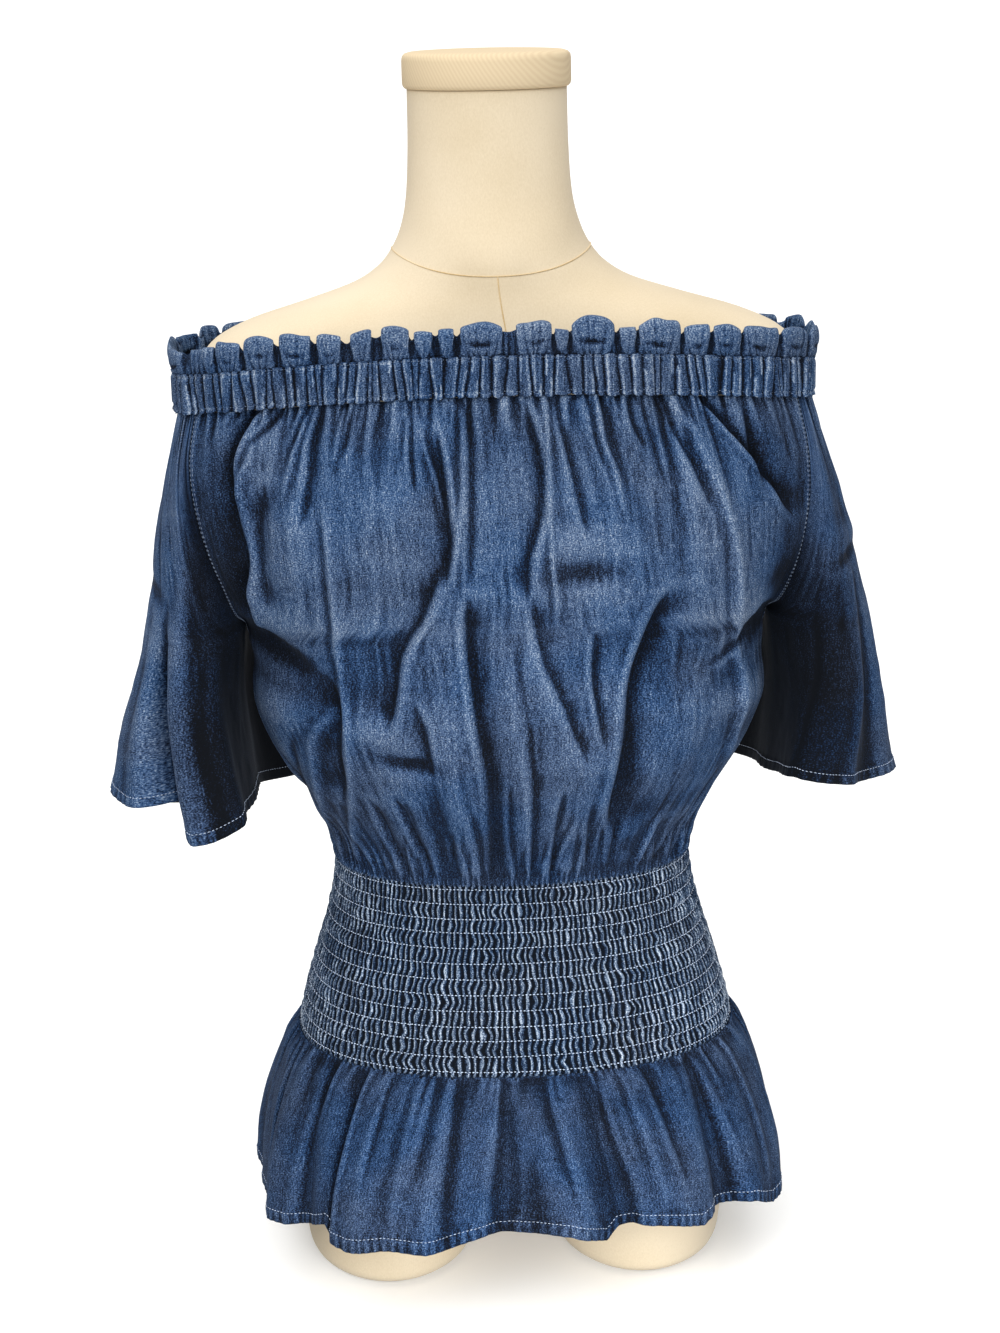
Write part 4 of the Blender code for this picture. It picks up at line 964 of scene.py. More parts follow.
def make_bodice(name, node, front, rows, columns, seed):
    draw = np.random.default_rng(seed)
    base = bodice_base(front, rows, columns)
    out = out_directions(base)
    uv = cloth_uv(base)
    x, z = base[..., 0], base[..., 2]
    across = uv[..., 0]
    below_casing = -uv[..., 1]
    above_waist = below_casing.max() - below_casing
    off_side = off_edges(across)
    calm = ramp(np.minimum(below_casing, above_waist), 0, 70)
    creases = FRONT_CREASES if front else BACK_CREASES
    lift = creased(x, z, creases, calm)
    lift += dented(x, z, FRONT_DENTS if front else BACK_DENTS)
    gathered = gathered_lift(across, below_casing, CASING_GATHERS, draw, lean=0.2)
    gathered += gathered_lift(across, above_waist, WAIST_GATHERS, draw, lean=0.05)
    lift += gathered
    lift += PUFF * ramp(above_waist, 2, 14) * (1 - ramp(above_waist, 30, 80))
    lift += UNEVEN_RISE * slow_noise(x.shape, 26, 30, draw) * calm
    lift += (WRINKLE_RISE + SEAM_WRINKLES * (1 - calm)) * crumpled(x.shape, 13, 46, draw)
    lift += FINE_WRINKLES * crumpled(x.shape, 6, 15, draw)
    lift *= ramp(off_side, 0, 9)
    lift -= ARMHOLE_SINK * (1 - ramp(off_side, 0, 2.5))
    loose = ramp(above_waist, 0, 12)
    lift = lift * loose + edge_ridges(across, seed) * (1 - loose)
    points = base + out * held_off(lift, base, out, DENIM_WALL)[..., None]
    out = out_directions(points)
    # The tone: wear and painted highlight on ridges, painted shade in hollows, creases and
    # gathers, beside the armholes, low down and in the front's shade patches.
    fade = worn_and_shaded(points, out, small=1.15, large=0.75)
    depth = creased(x, z, creases, calm, broader=1.7)
    fade += CREASE_SHADE * np.minimum(0, depth) - BODICE_BLUER
    fade += GATHER_SHADE * np.minimum(0, gathered) + GATHER_HIGHLIGHT * np.maximum(0, gathered)
    in_armhole = (1 - ramp(off_side, 4, 40)) * (1 - ramp(z, 540, 600)) * ramp(z, 400, 440)
    fade -= ARMHOLE_BLUER * in_armhole + LOW_BLUER * (1 - ramp(z, 320, 470))
    if front:
        fade += dented(x, z, FRONT_SHADE_PATCHES)
    fade = np.maximum(fade, WAIST_LEAST * (1 - ramp(z, 320, 400)))
    piece = cloth_piece(name, points, uv, fade, DENIM_WALL, washed_denim)
    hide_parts(node)
    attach(piece, "root")
    return points


washed_denim = denim("Washed lightweight denim", DENIM_SHADES, sheen=0.03, relief_mm=0.25)
front_points = make_bodice("front_bodice_panel", "bodice_front", front=True, rows=185,
                           columns=457, seed=FRONT_SEED)
back_points = make_bodice("back_bodice_panel", "bodice_back", front=False, rows=137,
                          columns=265, seed=BACK_SEED)

# ---------------------------------------------------------------- flutter sleeves
# Wide half-sleeves of the same denim, gathered into the neck casing, set into the armholes
# above the underarm and hanging open below it, with a narrow turned hem.

HEM = 7.0                    # how deep a hem is turned up
HEM_WALL = 1.6
# Level sections: height, the outer and inner sides' x, half the depth, and how far the front
# and the back wrap in towards the form.
SLEEVE = [
    (592, 203.5, 172.0, 38.0, 0.0, 0.0),
    (562, 211.0, 172.0, 48.0, 0.0, 0.0),
    (534, 219.0, 172.0, 55.0, 0.0, 0.0),
    (506, 226.0, 172.0, 60.0, 0.0, 0.0),
    (480, 230.5, 172.0, 65.0, 0.0, 0.0),
    (460, 234.5, 172.0, 68.0, 0.0, 0.0),
    (UNDERARM, 237.0, 172.0, 70.0, 0.0, 6.0),
    (426, 241.0, 173.5, 75.0, 2.0, 28.0),
    (402, 247.0, 175.0, 80.0, 6.0, 41.0),
    (378, 253.0, 174.0, 85.0, 12.0, 54.0),
    (354, 258.0, 172.0, 90.0, 18.0, 60.0),
    (332, 262.0, 170.0, 94.0, 24.0, 64.0),
    (324, 264.0, 169.0, 96.0, 26.0, 65.0),
]
SLEEVE_END = SLEEVE[-1][0]
WRAP_CALM = np.radians(75)   # how far round from its seam a sleeve wraps in fully
# A sleeve's side, how far its outer part swings out, and how high its hem hangs at angles
# in degrees from its outer side; below zero is the front.
Side = namedtuple("Side", "hand swing hem")
SIDES = {
    "right": Side(-1, 2.0, [
        (-180, 334), (-157, 335), (-142, 338), (-126, 341), (-111, 339), (-96, 334), (-82, 331),
        (-74, 330), (-65, 338), (-57, 346), (-48, 346), (-34, 344), (-19, 343), (-4, 342),
        (12, 336), (27, 329), (42, 322), (57, 317), (73, 313), (88, 311), (103, 311), (119, 313),
        (134, 316), (149, 321), (165, 328), (180, 334)]),
    "left": Side(1, -8.0, [
        (-180, 337), (-165, 342), (-150, 348), (-134, 353), (-118, 357), (-103, 359), (-88, 358),
        (-73, 354), (-57, 349), (-42, 344), (-27, 342), (-11, 339), (4, 337), (19, 333),
        (34, 330), (50, 328), (65, 327), (80, 326), (96, 325), (111, 324), (126, 324),
        (141, 325), (157, 329), (172, 335), (180, 337)]),
}
# Folds that run down a sleeve, by the same angle.
SleeveFold = namedtuple("SleeveFold", "around half_angle rise top")
SLEEVE_FOLDS = {
    "right": [
        SleeveFold(-22, 15, 3.0, 560),
        SleeveFold(-42, 8, 5.0, 480),
        SleeveFold(-58, 8, -31.0, 450),
        SleeveFold(-80, 13, 9.0, 510),
        SleeveFold(-114, 14, 7.0, 470),
        SleeveFold(6, 7, -2.0, 540),
        SleeveFold(34, 16, 4.0, 560),
        SleeveFold(68, 11, -9.0, 520),
        SleeveFold(104, 18, 5.0, 540),
    ],
    "left": [
        SleeveFold(-14, 17, 2.0, 560),
        SleeveFold(-42, 11, -6.5, 520),
        SleeveFold(-60, 6, 2.0, 440),
        SleeveFold(-84, 20, 5.0, 540),
        SleeveFold(-108, 6, -3.0, 450),
        SleeveFold(10, 8, -2.5, 520),
        SleeveFold(28, 15, 4.0, 560),
        SleeveFold(60, 10, -9.0, 520),
        SleeveFold(98, 20, 5.0, 540),
    ],
}
SLEEVE_DENTS = {
    "right": [Dent(-30, 480, 20, 6, -2.0, 12), Dent(20, 430, 24, 8, -1.8, -10),
              Dent(-95, 420, 12, 22, 2.0, 0), Dent(60, 450, 20, 8, -2.0, 14)],
    "left": [Dent(-52, 492, 24, 5, -3.0, 4), Dent(-40, 506, 26, 8, 2.0, 0),
             Dent(24, 452, 22, 8, -2.0, 12), Dent(-80, 452, 10, 26, -3.0, 0),
             Dent(64, 470, 22, 8, -2.0, -10)],
}
# The angles, round to the front, between which a sleeve turns into its own painted shade, the
# heights between which that shade ends, and how much bluer it looks all over towards its hem,
# also as painted shade.
Shade = namedtuple("Shade", "start full low high all_over")
SLEEVE_SHADE = {"right": Shade(64, 112, 510, 600, 0.03), "left": Shade(36, 98, 440, 545, 0.08)}
SHADE_BLUER = 0.5
SLEEVE_BLUER = 0.06
# Painted shade lower down a sleeve and in the hollows of its gathers.
SLEEVE_LOW_SHADE = 0.10
SLEEVE_GATHER_SHADE = 0.06
PUCKER_PALER = 0.10
SLEEVE_GATHERS = [Gathers(6.5, 1.1, 8), Gathers(13, 1.8, 26), Gathers(28, 1.2, 70)]
SLEEVE_UNEVEN = 1.3
SLEEVE_WRINKLES = 0.5
SLEEVE_FINE_WRINKLES = 0.3
PUCKER_PITCH = 5.6           # of the ripples that a hem's stitches draw up
PUCKER_RISE = 0.28
HEM_STEP = 0.45              # how far a hem's folded layers stand out


def sleeve_base(side, rows, columns):
    """The plain sleeve with its directions' angles and how far each place is from a seam."""
    hand = side.hand
    z = np.linspace(SLEEVE[0][0], SLEEVE_END, rows)
    z[np.argmin(np.abs(z - UNDERARM))] = UNDERARM
    outer, inner, half_depth, wrap_front, wrap_back = along(SLEEVE, z)[..., None]
    seam_x, seam_y, front, back, _, sideways = along(BODY, np.maximum(z, UNDERARM))[..., None]
    z = z[:, None]
    above = z > UNDERARM
    opening = np.where(above, np.pi - np.arcsin(np.clip(seam_y / half_depth, 0, 1)), np.pi)
    half_width = np.where(above, (outer - seam_x) / (1 - np.cos(opening)), (outer - inner) / 2)
    angle = opening * np.linspace(-1, 1, columns)
    off_seam = opening - np.abs(angle)
    wrap = np.where(hand * angle > 0, wrap_back, wrap_front)
    wrap = wrap * np.sin(angle) ** 2 * ramp(off_seam, 0, WRAP_CALM)
    x = outer - half_width + half_width * np.cos(angle) - wrap
    y = hand * half_depth * np.sin(angle)
    angle = hand * angle
    stretch = (UNDERARM - along(side.hem, np.degrees(angle))[0]) / (UNDERARM - SLEEVE_END)
    level = np.where(above, z, UNDERARM - (UNDERARM - z) * stretch)
    seated = ramp(z, SLEEVE_END, UNDERARM)
    height = level + raised(UNDERARM, y, front, back) * seated
    x = sideways + hand * x + hand * side.swing * (1 - seated) * (1 + np.cos(angle)) / 2
    out = np.stack([hand * np.cos(angle), np.sin(angle), 0 * angle], axis=-1)
    gap = np.where(above, SEAM_GAP / 2, 0.0)
    points = np.stack([x, y, height], axis=-1)
    for edge, beside in ((0, 1), (-1, -2)):
        step = points[:, beside] - points[:, edge]
        step /= np.linalg.norm(step, axis=1)[:, None]
        points[:, edge] += step * gap
    return points, out, np.degrees(angle), np.degrees(off_seam), z


def hem_puckers(across, pitch, columns_step, draw):
    """Ripples along a hem, from -1 to 1, where its stitches draw the cloth up."""
    slow = slow_noise(across.shape, 400, columns_step, draw)
    return np.sin(across * 2 * np.pi / pitch + 3 * slow)


def make_sleeve(name, node, key, rows, columns, seed):
    draw = np.random.default_rng(seed)
    base, out, angle, off_seam, z = sleeve_base(SIDES[key], rows, columns)
    uv = cloth_uv(base)
    below_casing = -uv[..., 1]
    to_hem = below_casing.max() - below_casing
    folds = np.zeros(angle.shape)
    for fold in SLEEVE_FOLDS[key]:
        width = fold.half_angle * (0.75 + 0.35 * (1 - ramp(z, SLEEVE_END, 500)))
        profile = np.exp(-((angle - fold.around) / width) ** 2)
        folds += fold.rise * profile * (1 - ramp(z, SLEEVE_END + 40, fold.top + 30))
    folds += dented(angle, base[..., 2], SLEEVE_DENTS[key])
    folds += SLEEVE_UNEVEN * slow_noise(angle.shape, 26, 22, draw)
    folds += SLEEVE_WRINKLES * crumpled(angle.shape, 11, 40, draw)
    folds += SLEEVE_FINE_WRINKLES * crumpled(angle.shape, 5, 13, draw)
    seam_calm = np.where(z > UNDERARM, ramp(off_seam, 0, 24), ramp(off_seam, 0, 14))
    gathered = gathered_lift(uv[..., 0], below_casing, SLEEVE_GATHERS, draw)
    lift = folds * seam_calm + gathered * ramp(off_seam, 0, 8)
    pucker = hem_puckers(uv[..., 0], PUCKER_PITCH, 9, draw)
    lift += PUCKER_RISE * pucker * (1 - ramp(to_hem, HEM - 1, HEM + 5))
    lift += HEM_STEP * (1 - ramp(to_hem, HEM, HEM + 0.8))
    points = base + out * lift[..., None]
    # The tone: painted shade in gathers, where the sleeve turns in towards the body and low down;
    # its hem's puckers paler on their tops.
    fade = worn_and_shaded(points, out_directions(points))
    fade += SLEEVE_GATHER_SHADE * np.minimum(0, gathered)
    height = base[..., 2]
    shade = SLEEVE_SHADE[key]
    turned_in = ramp(-angle, shade.start, shade.full) + ramp(angle, 80, 130)
    fade -= SHADE_BLUER * turned_in * (1 - ramp(height, shade.low, shade.high))
    fade -= shade.all_over * (1 - ramp(height, 480, 600))
    fade -= SLEEVE_BLUER + SLEEVE_LOW_SHADE * (1 - ramp(height, 380, 480))
    fade += PUCKER_PALER * pucker * (1 - ramp(to_hem, HEM - 1, HEM + 2))
    open_rows = int(np.argmin(np.abs(z[:, 0] - UNDERARM))) + 1
    piece = cloth_piece(name, points, uv, fade, HEM_WALL, washed_denim, open_rows=open_rows)
    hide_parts(node)
    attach(piece, "root")
    return points, to_hem


right_points, right_to_hem = make_sleeve("right_flutter_sleeve", "sleeve_right", "right",
                                         rows=145, columns=189, seed=21)
left_points, left_to_hem = make_sleeve("left_flutter_sleeve", "sleeve_left", "left",
                                       rows=145, columns=189, seed=22)

# ---------------------------------------------------------------- neck casing
# A band of the same denim, stitched twice round and threaded with elastic, which crushes it
# into upright tubes of cloth between deep narrow grooves.

CASING_TOP = 615.7
CASING_SAMPLES = 1440
CASING_ROWS = 25
CASING_WALL = 0.8
TUBE_PITCH = 6.8
FINE_TUBE = 0.45             # the finer tubes' pitch, as a part of the others'
TUBE_BEND = 2.4              # how far a tube leans to one side on its way down
CASING_RELIEF = 2.7
TOP_STITCH = 1.4             # from the casing's top, and from its bottom, to the stitches
BOTTOM_STITCH = 1.8
STITCH_DIP = 1.2             # half the width that a row of stitches presses flat
OVER_TOP = 1.2               # how far a tube's ends reach over the cloth above and below
OVER_BOTTOM = 2.4
CASING_SEED = 31


def neck_ring(count):
    """Even places round the neckline, their directions out and lifts, and its length."""
    front, back = (bodice_base(face, 205, EDGE_SAMPLES)[0] for face in (True, False))
    left, right = (sleeve_base(SIDES[key], 161, 120)[0][0] for key in ("left", "right"))
    path = np.vstack([front, left, back, right, front[:1]])
    path = spread_evenly([path], count + 1)[0][:-1]
    path = (path + np.roll(path, 1, axis=0) + np.roll(path, -1, axis=0)) / 3
    tangent = np.roll(path, -1, axis=0) - np.roll(path, 1, axis=0)
    out = np.stack([tangent[:, 1], -tangent[:, 0], 0 * tangent[:, 0]], axis=-1)
    out /= np.linalg.norm(out, axis=1)[:, None]
    lift = path[:, 2] - BODY[0][0]
    length = np.linalg.norm(tangent, axis=1).sum() / 2
    path[:, 2] = 0
    return path, out, lift, length


def tubes(at, length, pitch, draw):
    """Tubes of uneven width round a closed line: the part across one, and its size."""
    edges = [0.0]
    while edges[-1] < length:
        edges.append(edges[-1] + pitch * draw.uniform(0.5, 1.5))
    edges = np.array(edges) * length / edges[-1]
    at = at % length
    i = np.clip(np.searchsorted(edges, at, side="right") - 1, 0, len(edges) - 2)
    part = (at - edges[i]) / (edges[i + 1] - edges[i])
    return part, draw.uniform(0.55, 1.0, len(edges))[i]


def make_casing():
    draw = np.random.default_rng(CASING_SEED)
    path, out, lift, length = neck_ring(CASING_SAMPLES)
    shape = (CASING_ROWS, CASING_SAMPLES)
    at = (np.arange(CASING_SAMPLES) * length / CASING_SAMPLES)[None, :]
    bend = TUBE_BEND * slow_noise(shape, 16, 12, draw)
    across, size = tubes(at + bend, length, TUBE_PITCH, draw)
    full = np.clip(np.sin(np.pi * across), 0, 1)
    crushed = size * full ** 0.5
    side_lit = np.sign(slow_noise(shape, 40, 10, draw) + 0.2)
    rim = size * np.exp(-((across - 0.5 + 0.3 * side_lit) / 0.13) ** 2)
    groove = np.exp(-(full / 0.38) ** 2)
    fine, fine_size = tubes(at + 0.6 * bend, length, TUBE_PITCH * FINE_TUBE, draw)
    fine = fine_size * np.clip(np.sin(np.pi * fine), 0, 1)
    part = np.linspace(0, 1, CASING_ROWS)[:, None]
    top = CASING_TOP + OVER_TOP * (crushed[0] - 0.3)
    bottom = CASING_BOTTOM - OVER_BOTTOM * (crushed[-1] - 0.3)
    height = top * (1 - part) + bottom * part
    stitched = (np.exp(-((CASING_TOP - height - TOP_STITCH) / STITCH_DIP) ** 2)
                + np.exp(-((height - CASING_BOTTOM - BOTTOM_STITCH) / STITCH_DIP) ** 2))
    relief = CASING_RELIEF * (1.1 * crushed + 0.2 * fine) * (1 - 0.35 * stitched) + 0.35
    points = (path[None] + out[None] * relief[..., None]
              + (height + lift[None, :])[..., None] * np.array([0.0, 0.0, 1.0]))
    uv = np.stack(np.broadcast_arrays(at, height), axis=-1).astype(float)
    worn = np.clip(slow_noise(shape, 2, 4, draw), 0, 1)
    # Painted highlight along each tube's lit side and on the finer tubes, painted shade in the
    # grooves; the stitched lines are worn paler.
    fade = (0.45 + 0.45 * rim + 0.14 * (fine - 0.4) - 0.55 * groove
            + 0.35 * worn * np.clip(stitched, 0, 1))
    piece = cloth_piece("elastic_neck_casing", points, uv, fade, CASING_WALL, washed_denim,
                        closed=True)
    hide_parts("neck_casing")
    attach(piece, "root")
    return points


casing_points = make_casing()

# ---------------------------------------------------------------- neck ruffle
# The heading above the elastic: the casing's own cloth, folded over along its top edge, so
# it stands up double in padded lobes of every width, with pinched hollows between them.

RUFFLE_BOTTOM = 616.0
RUFFLE_SAMPLES = 1000
RUFFLE_ROWS = 15
RUFFLE_OUT = 3.2             # how far its lobes swing out, and the hollows in
RUFFLE_IN = 1.3
PADDING = 2.0
SPILL = 5.6                  # how far a lobe's sides hang over the hollows beside it
# Where the front's lobes start and end across the body, and how high they stand.
Lobe = namedtuple("Lobe", "start end height")
FRONT_LOBES = [
    Lobe(-186, -179, 16), Lobe(-177, -162, 19), Lobe(-160, -142, 21), Lobe(-138, -119, 20),
    Lobe(-115, -101, 19), Lobe(-95, -82, 20), Lobe(-77, -60, 21), Lobe(-57, -46, 17),
    Lobe(-42, -33, 18), Lobe(-29, -4, 22), Lobe(4, 26, 21), Lobe(28, 36, 16),
    Lobe(38, 64, 24), Lobe(67, 77, 16), Lobe(79, 105, 22), Lobe(107, 123, 20),
    Lobe(126, 143, 19), Lobe(145, 168, 19),
]
PLAIN_HEIGHT = 15.0
TUCK_DEPTH = 2.2
RUFFLE_CREASE = 4.2          # spacing of the creases that rise from the elastic
RUFFLE_BLUER = 0.11
# Painted shade in the pinched hollows between lobes and near the elastic, and along a lobe's tuck.
PINCH_SHADE = 0.06
TUCK_SHADE = 0.22
FOLD_HIGHLIGHT = 0.06            # painted highlight along the folded top edge
RUFFLE_SEED = 41


def ruffle_wave(path, draw):
    """How far out, from -1 to 1, and how high the ruffle stands, how far its lobes spread to
    the sides, and how deep and at which part of its height a lobe's own tuck is."""
    count = len(path)
    wave = np.zeros(count)
    tuck = np.zeros(count)
    tuck_level = np.full(count, 0.4)
    height = np.full(count, PLAIN_HEIGHT)
    steps = np.linalg.norm(path - np.roll(path, 1, axis=0), axis=1)
    at = np.cumsum(steps)
    front = (path[:, 1] < -20) & (np.abs(path[:, 0]) < 190)
    spans = []
    for lobe in FRONT_LOBES:
        inside = np.where(front & (path[:, 0] > lobe.start) & (path[:, 0] < lobe.end))[0]
        spans.append((at[inside[0]], at[inside[-1]], lobe.height))
    place = spans[-1][1] + 5
    while place < at[-1] - 8:
        width = draw.uniform(10, 25)
        spans.append((place, min(place + width, at[-1] - 3), draw.uniform(16, 21)))
        place += width + draw.uniform(4, 10)
    spill = np.zeros(count)
    edges = sorted(spans)
    for (start, end, tall), (following, _, _) in zip(edges, edges[1:] + [(at[-1], 0, 0)]):
        inside = (at >= start) & (at < end)
        t = (at[inside] - start) / (end - start)
        square = draw.uniform(0.2, 0.55)
        wave[inside] += draw.uniform(0.65, 1.1) * np.sin(np.pi * t) ** square
        wide = ramp(end - start, 11, 17) * draw.uniform(0.3, 1.0)
        tuck[inside] = wide * np.exp(-((t - draw.uniform(0.4, 0.6)) / 0.24) ** 2)
        tuck_level[inside] = draw.uniform(0.27, 0.4) + draw.uniform(0.5, 1.0) * (t - 0.5) ** 2
        taller = tall - PLAIN_HEIGHT + draw.uniform(-3, 3) * (t - 0.5)
        height[inside] += taller * np.sin(np.pi * t) ** square
        spill[inside] -= SPILL * np.cos(np.pi * t) * np.sin(np.pi * t) ** 0.3
        hollow = (at >= end) & (at < following)
        t = (at[hollow] - end) / max(following - end, 1)
        wave[hollow] -= np.sin(np.pi * t) ** 0.6
        height[hollow] -= draw.uniform(0.5, 3.5) * np.sin(np.pi * t)
    return wave, height, spill, tuck, tuck_level


def make_ruffle():
    draw = np.random.default_rng(RUFFLE_SEED)
    path, out, lift, length = neck_ring(RUFFLE_SAMPLES)
    sideways = np.stack([-out[:, 1], out[:, 0], 0 * out[:, 0]], axis=-1)
    wave, tall, spill, tuck, tuck_level = ruffle_wave(path, draw)
    at = np.arange(RUFFLE_SAMPLES) * length / RUFFLE_SAMPLES
    across, size = tubes(at, length, RUFFLE_CREASE, draw)
    creases = size * np.sin(np.pi * across) ** 0.7
    sag = slow_noise((4, RUFFLE_SAMPLES), 2, 24, draw)[1]
    tall = tall + 1.4 * slow_noise((4, RUFFLE_SAMPLES), 2, 7, draw)[2]
    half = np.concatenate([np.linspace(0, 0.86, RUFFLE_ROWS - 4), [0.93, 0.975, 0.995]])
    rise = np.concatenate([half, [1.0], half[::-1]])
    face = np.concatenate([-np.ones(len(half)), [0.0], np.ones(len(half))])
    rows = []
    for up, side in zip(rise, face):
        opened = 0.2 + 0.8 * up ** 0.7
        swing = np.where(wave > 0, RUFFLE_OUT * wave, RUFFLE_IN * wave) * opened
        round_top = (1 - up ** 6) ** 0.5
        puff = PADDING * round_top * (0.3 + 0.7 * np.sin(np.pi * min(1, up * 0.8 + 0.1)))
        puff = puff * (0.45 + 0.55 * np.clip(wave, 0, 1)) + 0.35 * round_top
        puff -= TUCK_DEPTH * tuck * np.exp(-((up - tuck_level) / 0.07) ** 2)
        fine = 0.9 * (creases - 0.4) * (1 - up) ** 0.6 + 0.3 * (creases - 0.5) + 0.8 * sag * up
        spot = path + out * (swing + side * puff + fine)[:, None]
        spread = (up ** 0.7 - 0.45) * (1 + 0.25 * side) * (1 - 0.35 * ramp(up, 0.7, 1.0))
        spot += sideways * (spill * spread)[:, None]
        spot[:, 2] = RUFFLE_BOTTOM + lift + up * tall * (1 - 0.03 * np.abs(side))
        rows.append(spot)
    points = np.array(rows)
    number = numbered(len(rows), RUFFLE_SAMPLES)
    number = np.vstack([number, number[:1]])
    # The tone: painted highlight and shade from its own form, painted shade in hollows, near the
    # elastic and in the tucks, painted highlight along the top.
    fade = worn_and_shaded(points, out_directions(points, True), True, small=1.3, large=0.9)
    fade -= RUFFLE_BLUER + PINCH_SHADE * np.clip(-wave, 0, 1)
    fade -= TUCK_SHADE * tuck * np.exp(-((rise[:, None] - tuck_level) / 0.06) ** 2)
    fade -= PINCH_SHADE * (1 - ramp(rise, 0.0, 0.4))[:, None]
    fade += FOLD_HIGHLIGHT * (rise[:, None] > 0.9)
    uv = np.stack(np.broadcast_arrays(at[None, :], (rise * 20 * face)[:, None]), axis=-1)
    piece = add_mesh("neck_ruffle_heading", points, grid_faces(number), washed_denim, uv, fade)
    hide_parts("neck_ruffle")
    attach(piece, "root")


make_ruffle()

# ---------------------------------------------------------------- shirred waist
# The waist is stitched thirteen times round with elastic thread, which draws the denim into
# upright ridges.  They pinch at every row and bend from one side to the other between rows.

STITCH_ROWS = 13
STITCH_PITCH = 9.8
WAIST_MARGIN = 3.0           # from the first and last rows of stitches to the seams
WAIST_WALL = 0.8
WAIST_BOTTOM = WAIST_TOP - STITCH_PITCH * (STITCH_ROWS - 1) - 2 * WAIST_MARGIN
RIDGE_RISE = 2.1
BETWEEN_RISE = 0.4           # how far the cloth swells between two rows of stitches
PINCH = 0.5                  # how much of a ridge's height a row takes, and over what width
PINCH_WIDTH = 1.2
# Painted shade in the gaps between ridges, against the ridges' own tone.
RIDGE_CONTRAST = 0.62
RIM_HIGHLIGHT = 0.46             # painted highlight along a ridge's lit edge
TUCKED = 3.0                 # how far it runs on under the cloth above and below
SHIRR_BASE = 0.9             # thickness of the cloth between the ridges
RIDGE_MARKS = 30             # places along a row between which its ridges' bends change
BOTTOM_SEED = 7              # added to a panel's own for the ridges at its lower edge
SHOWN_EDGE = 1.2             # height over which it sinks in under its neighbours
SHIRRED_SHADES = [(0.0, "#04080f"), (0.28, "#111c2d"), (0.45, "#2e3e58"), (0.6, "#516379"),
                  (0.78, "#8593a6"), (1.0, "#c0cad6")]


def shirred_relief(across, row, seed, draw):
    """Height of the ridges, from 0 to 1, and the painted highlight along their lit edges, by how
    many rows down.
    """
    part = across[0] / across[0].max()
    drifts = [row_drift(seed, part)]
    for number in range(STITCH_ROWS):
        drifts.append(0.3 * drifts[0] + 0.75 * row_drift(1000 * seed + number, part))
    drifts.append(row_drift(seed + BOTTOM_SEED, part))
    drifts = np.array(drifts)
    marks = np.linspace(0, 1, RIDGE_MARKS)
    bends = np.array([np.interp(part, marks, draw.uniform(-1, 1, len(marks)))
                      for _ in range(STITCH_ROWS + 2)])
    index = np.clip(row + 1, 0, STITCH_ROWS + 0.999)
    i = index.astype(int)
    t = (index - i)[:, None]
    drift = drifts[i] * (1 - eased(t)) + drifts[i + 1] * eased(t)
    cycles = across / RIDGE_PITCH + drift
    bow = bends[i] * (1 - np.abs(2 * t - 1) ** 1.3)
    cycles = cycles + 0.5 * bow + 0.1 * np.sin(np.pi * t) * np.sin(np.pi * cycles)
    cycles += 0.16 * slow_noise(across.shape, 4.5, 14, draw)
    off_gap = cycles % 1 - 0.5
    tube = 1 - np.exp(-(np.abs(off_gap) / 0.3) ** 2.8)
    lit = 0.5 + 0.5 * np.tanh(3 * slow_noise(across.shape, 9, 12, draw) + 0.6)
    rim = (lit * np.exp(-((off_gap - 0.36) / 0.07) ** 2)
           + (1 - lit) * np.exp(-((off_gap + 0.36) / 0.07) ** 2))
    size = 0.85 + 0.2 * slow_noise(across.shape, 8, 7, draw)
    return tube * size, rim


def make_waist(name, node, front, rows, columns, seed, edge_seed):
    draw = np.random.default_rng(seed)
    z = np.linspace(WAIST_TOP + TUCKED, WAIST_BOTTOM - TUCKED, rows)[:, None]
    angle = (np.pi if front else 0.0) + np.linspace(0, np.pi, columns)[None, :]
    base = waist_points(angle, z + 0 * angle, SHIRR_BASE)
    base = spread_evenly(base, columns, SEAM_GAP / 2)
    out = out_directions(base)
    uv = cloth_uv(base)
    across = uv[..., 0]
    row = (WAIST_TOP - WAIST_MARGIN - z[:, 0]) / STITCH_PITCH
    ridge, rim = shirred_relief(across, row, edge_seed, draw)
    off_row = np.abs(row - np.round(row))[:, None] * STITCH_PITCH
    inside_rows = (row[:, None] > -0.4) & (row[:, None] < STITCH_ROWS - 0.6)
    pinch = np.where(inside_rows, 1 - PINCH * np.exp(-(off_row / PINCH_WIDTH) ** 2), 0.9)
    between = np.where(inside_rows, ramp(off_row, 0.2, 4.0), 0.2)
    shown = (ramp(z, WAIST_BOTTOM - SHOWN_EDGE, WAIST_BOTTOM + 1)
             * (1 - ramp(z, WAIST_TOP - 1, WAIST_TOP + SHOWN_EDGE)))
    flat_side = ramp(off_edges(across), 0, 2.5)
    lift = (RIDGE_RISE * ridge * pinch + BETWEEN_RISE * between) * flat_side * shown
    points = base + out * lift[..., None]
    # The tone: painted shade in the gaps between ridges, painted highlight along their lit edges.
    fade = worn_and_shaded(points, out_directions(points), small=0.5, large=0.2) - 0.05
    fade += (RIDGE_CONTRAST * (ridge - 0.8) + RIM_HIGHLIGHT * rim) * shown
    piece = cloth_piece(name, points, uv, fade, WAIST_WALL, shirred_denim)
    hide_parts(node)
    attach(piece, "root")
    return points, row


shirred_denim = denim("Shirred washed denim", SHIRRED_SHADES, sheen=0.06, relief_mm=0.2)
waist_front_points, front_row = make_waist(
    "front_shirred_waist", "waist_front", front=True, rows=105, columns=737, seed=51,
    edge_seed=FRONT_SEED)
waist_back_points, back_row = make_waist(
    "back_shirred_waist", "waist_back", front=False, rows=85, columns=449, seed=52,
    edge_seed=BACK_SEED)

